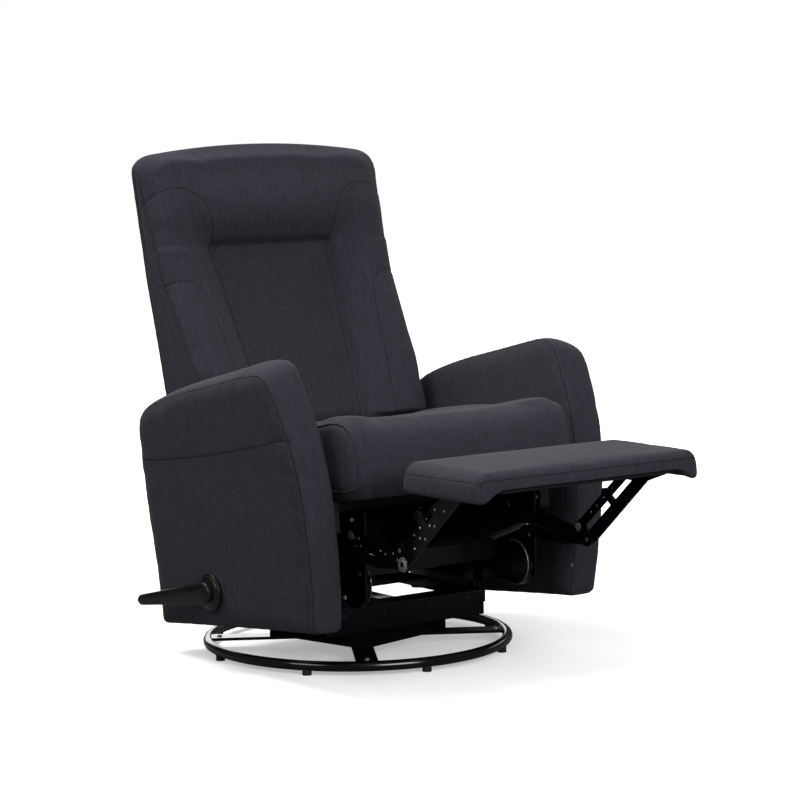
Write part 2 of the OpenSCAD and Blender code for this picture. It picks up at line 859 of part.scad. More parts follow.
module back_hinges() {
    foot_z = seat_low - seat_rear * tan(pitch);
    color("#24272c") at_swivel() both() {
        slab(hinge_inner_x, seat_rail_x - hinge_inner_x) {
            translate([hinge_y - (hinge_plate_w - link_waist) / 2, foot_z])
                square([hinge_plate_w - link_waist, hinge_z - foot_z]);
            translate(hinge_p) circle(d = hinge_plate_w);
        }
        pin(hinge_p, bracket_x - pin_gap, seat_rail_x);
        head(hinge_p, bracket_x - pin_gap - head_t);
        head(hinge_p, seat_rail_x);
    }
}

// Footrest linkage

// The lower link is a plate with two legs: the second leg starts below the fold pivot
leg_top_p = fold_p + lower_w * [-0.18, -1.21];
leg_turn_p = fold_p + lower_w * [-3.14, -1.5];
leg_w = 0.64 * lower_w;

module lower_links() {
    color("#101114") at_swivel() both() slab(lower_x, fold_t) difference() {
        union() {
            bar_outline(fold_p, elbow_p, lower_w);
            bar_outline(fold_p, leg_top_p, leg_w);
            bar_outline(leg_top_p, leg_turn_p, leg_w);
            bar_outline(leg_turn_p, elbow_p, leg_w);
            bar_outline(elbow_p, guide_p, lower_w);
            bar_outline(fold_p, lug_p, leg_w);
        }
        for (p = [fold_p, elbow_p, guide_p, lug_p]) translate(p) circle(r = p == fold_p ? pin_hole_r : pin_r);
    }
}

module link_pins() {
    elbow_x = upper_x + fold_t + pin_gap;
    guide_head_x = guide_x - pin_gap - head_t;
    color("#c9ccd1") at_swivel() both() {
        pin(elbow_p, lower_x, elbow_x + washer_t);
        slab(elbow_x, washer_t) translate(elbow_p) circle(r = washer_r);
        head(elbow_p, elbow_x + washer_t);
        pin(guide_p, guide_head_x, lower_x + fold_t);
        head(guide_p, guide_head_x);
        pin(lug_p, lower_x, rod_x - soft_gap);
    }
}

// The short arm stands on the middle of the upper link
stub_p = (elbow_p + rest_p) / 2;
stub_end_p = stub_p + stub_l * [0.82, 0.57];

module upper_links() {
    rest_head_x = lower_x - pin_gap - head_t;
    color("#1d1f23") at_swivel() both() {
        slab(upper_x, fold_t) difference() {
            union() {
                bar_outline(elbow_p, rest_p, upper_w);
                bar_outline(stub_p, stub_end_p, stub_w);
            }
            translate(elbow_p) circle(r = pin_hole_r);
        }
        pin(rest_p, rest_head_x, upper_x + fold_t);
        head(rest_p, rest_head_x);
        head(rest_p, upper_x + fold_t);
    }
}

module guide_links() {
    color("#1d1f23") at_swivel() both() {
        slab(guide_x, plate_t) difference() {
            bar_outline(guide_p, guide_rest_p, guide_w);
            translate(guide_p) circle(r = pin_hole_r);
        }
        head(guide_rest_p, guide_x - head_t);
    }
}

module drive_rods() {
    color("#1d1f23") at_swivel() both() {
        slab(rod_x, plate_t) difference() {
            bar_outline(lug_p, crank_p, rod_w);
            translate(crank_p) circle(r = pin_hole_r);
        }
        head(lug_p, rod_x + plate_t);
    }
}

// Footrest

module footrest_brackets() {
    front_y = rest_p[0] - bracket_front;
    rear_y = rest_p[0] + bracket_rear;
    low = rest_z - guide_w / 2;
    color("#101114") at_swivel() both() {
        slab(lower_x, fold_t) difference() {
            polygon([
                [front_y, pad_z],
                [front_y, (pad_z + low) / 2],
                [rest_p[0] - guide_w, low],
                [rest_p[0], low - guide_w / 4],
                [guide_rest_p[0], low - guide_w / 4],
                [rear_y, low + guide_w / 4],
                [rear_y, pad_z]
            ]);
            translate(rest_p) circle(r = pin_hole_r);
        }
        translate([lower_x, front_y, pad_z - flange_t]) cube([flange_w, bracket_front + bracket_rear, flange_t]);
    }
}

// Half the width of the board, clear of the guide links
board_half_w = guide_x - head_t - layer_gap;

module footrest_board() {
    color("#a8824f") at_swivel()
        translate([-board_half_w, -rest_front + pad_edge, pad_z - board_t])
            cube([2 * board_half_w, rest_front - rest_rear - 2 * pad_edge, board_t]);
}

pad_steps_shares = [0, 0.02, 0.07, 0.2, 0.5, 0.8, 0.93, 0.98, 1];
pad_cross_shares = [-1, -0.97, -0.9, -0.7, -0.35, 0, 0.35, 0.7, 0.9, 0.97, 1];

module footrest_pad() {
    length = rest_front - rest_rear;
    top = pad_z + pad_t - pad_crown;
    color("#30323b") at_swivel() loft([
        for (v = pad_steps_shares)
            let (
                dv = min(v, 1 - v) * length,
                ev = edge_inset(dv, pad_edge),
                y = -rest_front + v * length
            )
            concat(
                [for (u = pad_cross_shares)
                    let (eu = edge_inset((1 - abs(u)) * rest_half_w, pad_edge))
                    [
                        u * rest_half_w,
                        y,
                        top - ev - eu + pad_crown * (1 - u * u) * (1 - pow(2 * v - 1, 2))
                    ]],
                [for (i = [len(pad_cross_shares) - 1 : -1 : 0])
                    [pad_cross_shares[i] * rest_half_w, y, pad_z]]
            )
    ]);
}

module footrest_rolls() {
    color("#2b2d36") at_swivel() both()
        translate([rest_half_w - roll_t, -rest_front + pad_edge, pad_z - roll_h])
            cube([roll_t, rest_front - rest_rear - 2 * pad_edge, roll_h - soft_gap]);
}

// Handle and torque tube

module torque_tube() {
    color("#1b1d21") at_swivel() {
        slab(-crank_x, 2 * crank_x) translate(tube_p) circle(r = tube_r);
        slab(crank_x, plate_t) translate(tube_p) circle(r = shaft_r);
    }
}

module cranks() {
    pin_x = rod_x - pin_gap;
    color("#26292e") at_swivel() both() {
        slab(crank_x, plate_t) difference() {
            bar_outline(tube_p, crank_p, crank_w);
            translate(tube_p) circle(r = shaft_r);
        }
        pin(crank_p, pin_x, crank_x);
        head(crank_p, pin_x - head_t);
    }
}

// Distance of the handle's hub from the middle, clear of the arm
hub_z_share = (tube_z - arm_low) / arm_h;
hub_x = arm_inner + arm_foot_t + (arm_lean + arm_top_t - arm_foot_t) * hub_z_share + hub_gap;

module handle_shaft() {
    color("#8a8d92") at_swivel() on_side(-1)
        slab(crank_x, hub_x - crank_x) translate(tube_p) circle(r = shaft_r);
}

module handle_hub() {
    color("#24262e") at_swivel() on_side(-1) slab(hub_x, hub_t) translate(tube_p) circle(r = hub_r);
}

// The lever leans outwards from the hub
lever_lean = atan2(lever_out, lever_reach);
lever_root_x = hub_x + hub_t + sin(lever_lean) * lever_root_h / 2;

// The lever's outline in its own plane, from the hub rearwards
module handle_lever() {
    drop = atan2(lever_drop, lever_reach);
    reach = norm([lever_reach, lever_drop]);
    color("#24262e") at_swivel() on_side(-1) translate([lever_root_x, tube_p[0], tube_z])
        rotate([-drop, 0, 0]) rotate([0, 0, -lever_lean]) rotate([90, 0, 90]) linear_extrude(lever_t) difference() {
            polygon([
                [-lever_root_h / 2, -lever_root_h / 2],
                [reach - lever_tip_h / 2, -lever_tip_h / 2],
                [reach, 0],
                [reach - lever_tip_h / 2, lever_tip_h / 2],
                [-lever_root_h / 2, lever_root_h / 2]
            ]);
            circle(r = screw_r / 2 + tan(lever_lean) * lever_t);
        }
}

module handle_screw() {
    head_x = lever_root_x + lever_t / cos(lever_lean) + screw_r * tan(lever_lean) + soft_gap / 4;
    color("#0f1012") at_swivel() on_side(-1) {
        slab(hub_x + hub_t, head_x - hub_x - hub_t) translate(tube_p) circle(r = screw_r / 2);
        slab(head_x, head_t) translate(tube_p) circle(r = screw_r);
    }
}

// Back

// Side view lines of the back, as rows of height and distance behind the swivel axis
back_h = back_top - back_low;
back_rear_rows = [
    [back_low, 262], [back_low + 0.2 * back_h, 284], [back_low + 0.57 * back_h, 329],
    [back_low + 0.93 * back_h, back_rear_y], [back_top, back_rear_y]
];
back_floor_rows = [
    [back_low, 150], [back_low + 0.108 * back_h, 150], [back_low + 0.66 * back_h, 312],
    [back_low + 0.726 * back_h, 322], [back_low + 0.905 * back_h, 337], [back_top, 342]
];
back_seam_rows = [
    [back_low, 96], [back_low + 0.278 * back_h, 158], [back_low + 0.388 * back_h, 195],
    [back_low + 0.565 * back_h, 254], [back_low + 0.725 * back_h, 288], [back_low + 0.905 * back_h, 323],
    [back_top, 330]
];
function rear_y(z) = along(back_rear_rows, z);
function floor_y(z) = along(back_floor_rows, z);
function seam_y(z) = along(back_seam_rows, z);
// Share of the back's height that a height z stands at
function up_share(z) = max(0, (z - back_low) / back_h);
function back_half(z) = back_half_low + (back_half_top - back_half_low) * pow(up_share(z), 1.3);
function panel_half(z) =
    panel_half_low + (panel_half_top - panel_half_low) * (z - cushion_low) / (head_low - cushion_low);
// Boundary between the bolsters and the middle of the back
function inner_edge(z) = z <= head_low
    ? panel_half(z)
    : panel_half_top + (back_half(z) - panel_half_top) * pow(min(1, (z - head_low) / (bolster_top - head_low)), 1.7);

shell_rows_shares = [0, 0.108, 0.3, 0.5, 0.66, 0.726, 0.8, 0.905, 0.97];
shell_steps_shares = [-1, -0.985, -0.95, -0.6, 0, 0.6, 0.95, 0.985, 1];

module back_shell() {
    zs = [for (s = shell_rows_shares) back_low + s * back_h];
    n = len(zs);
    color("#292b34") at_swivel() difference() {
        loft([
            for (u = shell_steps_shares)
                let (
                    e = edge_inset((1 - abs(u)) * back_half_low, shell_edge) / 2,
                    arch = back_arch * u * u
                )
                concat(
                    [for (z = zs) [u * back_half(z), floor_y(z), z - arch * pow(up_share(z), 3)]],
                    [for (s = [0.3, 0.7])
                        [
                            u * back_half(back_top),
                            floor_y(back_top) * (1 - s) + rear_y(back_top) * s,
                            back_top - arch - e
                        ]],
                    [for (i = [n - 1 : -1 : 0])
                        let (z = zs[i])
                        [u * back_half(z), rear_y(z) - e, z - arch * pow(up_share(z), 3)]]
                )
        ]);
        slab(-cavity_half_w, 2 * cavity_half_w) polygon([
            [floor_y(back_low) + shell_t, back_low - over],
            [floor_y(back_low) + shell_t, back_low + 0.1 * back_h],
            [floor_y(cavity_top) + shell_t, cavity_top],
            [rear_y(cavity_top) - shell_t, cavity_top],
            [rear_y(back_low + 0.2 * back_h) - shell_t, back_low + 0.2 * back_h],
            [rear_y(back_low) - shell_t, back_low - over]
        ]);
    }
}

// Posts and rails lie against the rear of the cavity
post_d = 22;
post_low = hinge_z + 1.07 * hinge_plate_w;
function post_rear_y(z) = rear_y(z) - shell_t - soft_gap;
bracket_x = hinge_inner_x - layer_gap / 3 - plate_t;

module back_posts() {
    top = cavity_top - shell_t;
    post_x = bracket_x + plate_t;
    color("#5a4632") at_swivel() both() slab(post_x, cavity_half_w - post_x - soft_gap)
        polygon([
            [hinge_y - hinge_plate_w / 2, post_low],
            [post_rear_y(top) - post_d, top],
            [post_rear_y(top), top],
            [post_rear_y(back_low + 0.2 * back_h), back_low + 0.2 * back_h],
            [post_rear_y(post_low), post_low]
        ]);
}

module back_brackets() {
    color("#24272c") at_swivel() both() slab(bracket_x, plate_t) difference() {
        union() {
            translate(hinge_p) circle(d = hinge_plate_w);
            translate([hinge_y - hinge_plate_w / 2, hinge_z]) square([hinge_plate_w, 3 * hinge_plate_w]);
        }
        translate(hinge_p) circle(r = pin_hole_r);
    }
}

back_rail_shares = [0.208, 0.52, 0.814];
back_rail_h = 30;
// Height of the underside of a back rail that stands at a share s of the cavity
function back_rail_z(s) = back_low + s * (cavity_top - back_low);

module back_rails() {
    color("#5a4632") at_swivel() for (s = back_rail_shares) {
        z = back_rail_z(s);
        half = bracket_x + plate_t;
        translate([-half, post_rear_y(z) - post_d, z]) cube([2 * half, post_d, back_rail_h]);
    }
}

back_spring_waves = 12;

// Front face of a back rail whose underside is at height z
function back_rail_y(z) = post_rear_y(z) - post_d;

module back_springs() {
    z0 = back_rail_z(back_rail_shares[0]);
    z1 = back_rail_z(back_rail_shares[2]);
    rise = [back_rail_y(z1) - back_rail_y(z0), z1 - z0];
    lean = atan2(rise[0], rise[1]);
    // The wire touches the upper edges of the rails
    foot_y = back_rail_y(z0) - back_rail_h * tan(lean) - wire_t / cos(lean) - 2 * soft_gap;
    gap = 2 * bracket_x / (back_spring_count + 1);
    color("#7d8086") at_swivel() for (i = [1 : back_spring_count])
        translate([-bracket_x + i * gap, foot_y, z0]) rotate([90 - lean, 0, 0]) translate([0, 0, -wire_t])
            zigzag(norm(rise) + back_rail_h, spring_width_share * gap, back_spring_waves, wire_t);
}

// A back cushion: rows of height, a left and right edge, and a front line
row_steps_shares = [0, 0.015, 0.06, 0.16, 0.34, 0.56, 0.78, 0.92, 0.985, 1];
panel_cross_shares = [0, 0.04, 0.18, 0.5, 0.82, 0.96, 1];
// Share of its thickness that a cushion keeps at its ends, and how soon it is full
panel_end_share = 0.4;
panel_end_rate = 4;
bolster_end_share = 0.35;
bolster_end_rate = 5;
function end_ease(v, least, rate) = min(1, least + rate * min(v, 1 - v));

module lumbar_panel() {
    color("#26282f") at_swivel() loft([
        for (v = row_steps_shares)
            let (
                z = cushion_low + v * (head_low - soft_gap - cushion_low),
                w = panel_half(z) - soft_gap,
                ev = end_ease(v, panel_end_share, panel_end_rate)
            )
            concat(
                [for (c = panel_cross_shares)
                    let (t = panel_t * ev * (0.55 + 0.45 * pow(sin(180 * c), 0.5)))
                    [(2 * c - 1) * w, floor_y(z) - soft_gap - t, z]],
                [for (i = [len(panel_cross_shares) - 1 : -1 : 0])
                    [(2 * panel_cross_shares[i] - 1) * w, floor_y(z) - soft_gap, z]]
            )
    ]);
}

bolster_cross_shares = [0, 0.05, 0.15, 0.3, 0.5, 0.7, 0.86, 0.95, 1];

module bolster_form() {
    loft([
        for (v = row_steps_shares)
            let (
                z = cushion_low + v * (bolster_top - over - cushion_low),
                x0 = back_half(z),
                x1 = inner_edge(z) + soft_gap,
                ev = end_ease(v, bolster_end_share, bolster_end_rate)
            )
            concat(
                [for (c = bolster_cross_shares)
                    let (
                        base = (floor_y(z) - seam_y(z)) * (1 - c) + panel_t * c,
                        bulge = bolster_bulge * sin(180 * pow(c, 0.8)) * min(1, (x0 - x1) / panel_half_low)
                    )
                    [x0 + (x1 - x0) * c, floor_y(z) - soft_gap - ev * (base + bulge), z]],
                [for (i = [len(bolster_cross_shares) - 1 : -1 : 0])
                    [x0 + (x1 - x0) * bolster_cross_shares[i], floor_y(z) - soft_gap, z]]
            )
    ]);
}

module bolster(s) {
    color("#2f313a") at_swivel() on_side(s) bolster_form();
}

head_rows_shares = [0, 0.03, 0.1, 0.22, 0.4, 0.6, 0.78, 0.9, 0.97, 1];
head_cross_shares = [0, 0.02, 0.08, 0.22, 0.4, 0.6, 0.78, 0.92, 0.98, 1];
// How far round the head roll its section runs, in degrees, from its lower edge to its top
head_arc_low = 4;
head_arc = 173;

module head_pillow() {
    color("#32343d") at_swivel() loft([
        for (v = head_rows_shares)
            let (
                z = head_low + v * (back_top - head_low),
                sink = back_arch * v * v * pow(inner_edge(z) / back_half_top, 2),
                w = min(inner_edge(z - sink) - head_margin, back_half(z)),
                body = max(0, sin(head_arc * pow(1 - v, 1.6) + head_arc_low)),
                fall = back_arch * pow(w / back_half_top, 2) * v * v
            )
            concat(
                [for (c = head_cross_shares)
                    let (
                        u = 2 * c - 1,
                        bulge = head_bulge * body * pow(max(0.02, 1 - u * u), 0.35)
                    )
                    [
                        u * w,
                        floor_y(z) - soft_gap - panel_t - bulge - (1 - body) * v * head_tuck,
                        z - fall * u * u
                    ]],
                [for (i = [len(head_cross_shares) - 1 : -1 : 0])
                    let (u = 2 * head_cross_shares[i] - 1)
                    [u * w, floor_y(z) - soft_gap, z - fall * u * u]]
            )
    ]);
}

ring();
feet();
cross_bars();
hub_pan();
race_lower();
race_balls();
king_bolt();
race_upper();
turn_plate();
saddle_beams();
channel_front();
channel_rear();
apron();
turn_sides();
link_posts();
swing_links(-swing_y);  // swing_links_front
swing_links(swing_y);  // swing_links_rear
side_plate(-1);  // side_plate_right
side_plate(1);  // side_plate_left
hangers();
cross_rail_front();
cross_rail_rear();
cam_discs();
pivot_studs();
seat_angles();
seat_side(-1);  // seat_side_right
seat_side(1);  // seat_side_left
seat_front_rail();
seat_rear_rail();
seat_springs();
seat_cushion();
arm_right();
arm_left();
arm_cleats();
arm_screws();
back_hinges();
lower_links();
link_pins();
upper_links();
guide_links();
drive_rods();
footrest_brackets();
footrest_board();
footrest_pad();
footrest_rolls();
torque_tube();
cranks();
handle_shaft();
handle_hub();
handle_lever();
handle_screw();
back_brackets();
back_posts();
back_rails();
back_springs();
back_shell();
lumbar_panel();
bolster(-1);  // bolster_right
bolster(1);  // bolster_left
head_pillow();
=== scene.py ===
"""Looks of a swivel glider recliner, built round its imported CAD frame.

Sizes are in millimetres until a mesh is made.
"""

import logging
import math
from dataclasses import dataclass, field
from enum import Enum
from typing import Callable, Iterable, Sequence

import bmesh
import bpy
import numpy as np
from mathutils import Matrix, Vector
from mathutils.bvhtree import BVHTree


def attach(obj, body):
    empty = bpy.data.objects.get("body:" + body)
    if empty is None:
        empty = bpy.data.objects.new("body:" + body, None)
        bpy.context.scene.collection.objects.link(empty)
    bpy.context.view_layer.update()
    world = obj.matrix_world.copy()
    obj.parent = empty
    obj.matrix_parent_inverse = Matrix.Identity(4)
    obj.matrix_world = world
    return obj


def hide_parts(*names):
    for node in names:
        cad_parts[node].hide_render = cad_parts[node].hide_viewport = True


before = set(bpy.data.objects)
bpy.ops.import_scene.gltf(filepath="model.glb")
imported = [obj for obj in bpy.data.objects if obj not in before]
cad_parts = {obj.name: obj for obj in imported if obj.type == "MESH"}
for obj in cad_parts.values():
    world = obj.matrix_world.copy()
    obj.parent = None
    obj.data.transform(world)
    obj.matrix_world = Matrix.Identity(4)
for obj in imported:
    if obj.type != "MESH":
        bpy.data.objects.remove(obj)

LOG = logging.getLogger("recliner")
MM = 0.001
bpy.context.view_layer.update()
Point = tuple[float, float]
Spot = tuple[float, float, float]
Rgb = tuple[float, float, float]
SIDES = ((-1, "right"), (1, "left"))
FORWARD = (0.0, -1.0, 0.0)


# Frames and outlines


@dataclass(frozen=True)
class ChairFrame:
    """The two frames that the chair's sizes are given in."""

    swivel_y: float = 192.0
    pitch: float = 5.9

    def swivel(self, points: np.ndarray) -> np.ndarray:
        """Moves points from the swivel's frame, in millimetres, to the row frame, in metres."""
        return (np.asarray(points, float) + (0.0, self.swivel_y, 0.0)) * MM

    def pitched(self, points: np.ndarray) -> np.ndarray:
        """Moves points from the pitched frame of seat and arms to the row frame, in metres.

        Args:
            points: Points of the pitched frame, in millimetres.

        Returns:
            The same points in metres.
        """
        p = np.asarray(points, float)
        c, s = math.cos(math.radians(self.pitch)), math.sin(math.radians(self.pitch))
        turned = np.stack([p[..., 0], p[..., 1] * c + p[..., 2] * s, p[..., 2] * c - p[..., 1] * s], axis=-1)
        return self.swivel(turned)


CHAIR = ChairFrame()


def along(rows: Sequence[Point], at: np.ndarray | float) -> np.ndarray:
    """Reads a table of (height, value) rows by straight interpolation."""
    heights, values = zip(*rows)
    return np.interp(at, heights, values)


def cut_corners(points: np.ndarray, times: int = 1) -> np.ndarray:
    """Rounds a closed outline by cutting each corner.

    Args:
        points: The outline, one row a point.
        times: How often each corner is cut.

    Returns:
        The rounded outline, with twice the points for each time.
    """
    for _ in range(times):
        after = np.roll(points, -1, axis=0)
        cut = np.stack([points * 0.75 + after * 0.25, points * 0.25 + after * 0.75], axis=1)
        points = cut.reshape(-1, points.shape[1])
    return points


def drawn_in(points: np.ndarray, inset: float) -> np.ndarray:
    """Moves an outline's points straight towards its middle by the inset."""
    rays = points - points.mean(axis=0)
    return points - rays * (inset / np.linalg.norm(rays, axis=1))[:, None]


def edge_inset(distance: float, radius: float) -> float:
    """Says how far a round edge has drawn in at a distance from the end face.

    Args:
        distance: Distance from the end face.
        radius: The edge's radius.

    Returns:
        How far the edge has drawn in.
    """
    if distance >= radius:
        return 0.0
    return radius - math.sqrt(radius**2 - (radius - max(0.0, distance)) ** 2)


def smooth_step(value: np.ndarray | float) -> np.ndarray | float:
    """Eases a share from 0 to 1."""
    share = np.clip(value, 0.0, 1.0)
    return share * share * (3.0 - 2.0 * share)


def spaced(points: np.ndarray, pitch: float) -> np.ndarray:
    """Resamples a line of points at an even pitch.

    Args:
        points: The line, one row a point.
        pitch: The wanted distance between points, in the line's own unit.

    Returns:
        The evenly spaced points, both ends kept.
    """
    steps = np.linalg.norm(np.diff(points, axis=0), axis=1)
    run = np.concatenate([[0.0], np.cumsum(steps)])
    count = max(2, int(round(run[-1] / pitch)) + 1)
    at = np.linspace(0.0, run[-1], count)
    return np.stack([np.interp(at, run, points[:, k]) for k in range(points.shape[1])], axis=1)


def curved(points: Sequence[Sequence[float]], per_span: int = 8) -> np.ndarray:
    """Draws a smooth line through a few points.

    Args:
        points: The points that it passes.
        per_span: Steps between two of them.

    Returns:
        The line, one row a point.
    """
    p = np.asarray(points, float)
    p = np.vstack([2 * p[0] - p[1], p, 2 * p[-1] - p[-2]])
    line = []
    for a, b, c, d in zip(p[:-3], p[1:-2], p[2:-1], p[3:]):
        for t in np.linspace(0.0, 1.0, per_span, endpoint=False):
            square, cube = (2 * a - 5 * b + 4 * c - d) * t**2, (3 * b - a - 3 * c + d) * t**3
            line.append(0.5 * (2 * b + (c - a) * t + square + cube))
    line.append(p[-2])
    return np.array(line)


# Meshes


def linked(name: str, data: bpy.types.ID) -> bpy.types.Object:
    """Puts a mesh, lamp or camera in the scene.

    Args:
        name: The object's name.
        data: What it shows.

    Returns:
        The object.
    """
    thing = bpy.data.objects.new(name, data)
    bpy.context.collection.objects.link(thing)
    return thing


def shaded(mesh: bpy.types.Mesh, smooth: bool = True) -> None:
    """Shades all of a mesh's faces smooth or flat."""
    mesh.polygons.foreach_set("use_smooth", [smooth] * len(mesh.polygons))


def new_object(name: str, verts: np.ndarray, faces: Iterable[Sequence[int]], smooth: bool = True) -> bpy.types.Object:
    """Makes a mesh object in the row frame.

    Args:
        name: The piece's name.
        verts: Corner points in metres.
        faces: Point numbers of each face.
        smooth: Whether its faces are shaded smooth.

    Returns:
        The linked object.
    """
    mesh = bpy.data.meshes.new(name)
    mesh.from_pydata([tuple(v) for v in verts], [], [tuple(f) for f in faces])
    mesh.validate()
    work = bmesh.new()
    work.from_mesh(mesh)
    bmesh.ops.recalc_face_normals(work, faces=work.faces)
    work.to_mesh(mesh)
    work.free()
    shaded(mesh, smooth)
    return linked(name, mesh)


def loft(name: str, rings: np.ndarray) -> bpy.types.Object:
    """Skins rings of points and caps both ends with strips.

    Args:
        name: The piece's name.
        rings: An array of rings, points and coordinates, in metres.

    Returns:
        The object.
    """
    m, n, _ = rings.shape
    faces = []
    for i in range(m - 1):
        for j in range(n):
            k, u = i + 1, (j + 1) % n
            faces.append((i * n + j, i * n + u, k * n + u, k * n + j))
    for i in (0, (m - 1) * n):
        faces += [(i + j, i + j + 1, i + n - 2 - j, i + n - 1 - j) for j in range(n // 2 - 1)]
    return new_object(name, rings.reshape(-1, 3), faces)


def paired(name: str, rows: Iterable[float], columns: Sequence[float],
           pair: Callable[[float, float], tuple[Spot, Spot]], inner: Sequence[Sequence[Spot]] = ()) -> bpy.types.Object:
    """Builds a form with a front and a rear.

    Args:
        name: The piece's name.
        rows: One number for each ring.
        columns: One number for each point across.
        pair: Gives the front and rear point, in millimetres in the swivel frame.
        inner: Further rings, for a form that turns in on itself.

    Returns:
        The closed form.
    """
    rings = []
    for row in rows:
        pairs = [pair(row, column) for column in columns]
        rings.append([front for front, _ in pairs] + [rear for _, rear in reversed(pairs)])
    return loft(name, CHAIR.swivel(np.array(rings + list(inner))))


def tube(name: str, line: np.ndarray, radius: float, sides: int = 10) -> bpy.types.Object:
    """Makes a round tube along a line, both in metres.

    Args:
        name: The piece's name.
        line: Its middle line.
        radius: Its radius.
        sides: Points round it.

    Returns:
        The piece.
    """
    line = np.asarray(line, float)
    ahead = np.gradient(line, axis=0)
    ahead /= np.linalg.norm(ahead, axis=1)[:, None] + 1e-12
    up = np.array([0.31, 0.21, 0.93])
    rings = []
    for point, way in zip(line, ahead):
        up = up - way * np.dot(up, way)
        up /= np.linalg.norm(up)
        side = np.cross(way, up)
        angles = np.linspace(0.0, 2 * math.pi, sides, endpoint=False)
        rings.append(point + radius * (np.cos(angles)[:, None] * up + np.sin(angles)[:, None] * side))
    return loft(name, np.array(rings))


def turned(name: str, profile: Sequence[Point], centre: Sequence[float], axis: str = "X",
           sides: int = 40) -> bpy.types.Object:
    """Turns a profile of (distance along, radius) rows about an axis through a centre, all in metres.

    Args:
        name: The piece's name.
        profile: Rows of distance along the axis and radius.
        centre: Where the axis starts.
        axis: X, Y or Z.
        sides: Points round it.

    Returns:
        The piece.
    """
    rings = []
    for run, radius in profile:
        angles = np.linspace(0.0, 2 * math.pi, sides, endpoint=False)
        c, s = np.cos(angles) * radius, np.sin(angles) * radius
        r = np.full(sides, run)
        ring = {"X": (r, c, s), "Y": (c, r, s), "Z": (c, s, r)}[axis]
        rings.append(np.stack(ring, axis=1) + np.asarray(centre))
    return loft(name, np.array(rings))


def joined(name: str, parts: Sequence[bpy.types.Object]) -> bpy.types.Object:
    """Joins meshes into one piece.

    Args:
        name: The piece's name.
        parts: The meshes, which are used up.

    Returns:
        The piece.
    """
    verts, faces, smooth = [], [], []
    for part in parts:
        start = len(verts)
        verts += [tuple(part.matrix_world @ v.co) for v in part.data.vertices]
        faces += [tuple(start + k for k in p.vertices) for p in part.data.polygons]
        smooth += [p.use_smooth for p in part.data.polygons]
        bpy.data.objects.remove(part)
    mesh = bpy.data.meshes.new(name)
    mesh.from_pydata(verts, [], faces)
    mesh.polygons.foreach_set("use_smooth", smooth)
    return linked(name, mesh)


def settled(thing: bpy.types.Object) -> None:
    """Takes a piece's modifiers into its mesh.

    Args:
        thing: The piece, which has no modifier afterwards.
    """
    graph = bpy.context.evaluated_depsgraph_get()
    mesh = bpy.data.meshes.new_from_object(thing.evaluated_get(graph))
    thing.modifiers.clear()
    old, thing.data = thing.data, mesh
    bpy.data.meshes.remove(old)
    mesh.name = thing.name


def points_of(mesh: bpy.types.Mesh, kind: str = "co") -> np.ndarray:
    """Reads a mesh's points or their normals.

    Args:
        mesh: The mesh.
        kind: co for points or normal for normals.

    Returns:
        One row a point.
    """
    flat = np.empty(len(mesh.vertices) * 3, np.float32)
    mesh.vertices.foreach_get(kind, flat)
    return flat.reshape(-1, 3).astype(float)


def set_points(mesh: bpy.types.Mesh, points: np.ndarray) -> None:
    """Writes a mesh's points."""
    mesh.vertices.foreach_set("co", points.astype(np.float32).ravel())
    mesh.update()


# Soft goods


@dataclass(frozen=True)
class Stuffing:
    """How a padded form is remeshed and blown up.

    A voxel of 0 keeps an even form's own mesh. Where a face is named, only what looks that way moves.
    """

    voxel: float = 6.0
    pressure: float = 4.0
    cap: float = 6.0
    frames: int = 20
    even: int = 6
    fill: float = 0.8
    face: Spot | None = None


@dataclass(frozen=True)
class Seam:
    """A sewn line in the row frame, in metres, pressed into the cover."""

    line: np.ndarray
    depth: float = 1.8
    width: float = 4.0
    pucker: float = 0.35
    stitches: tuple[float, ...] = ()


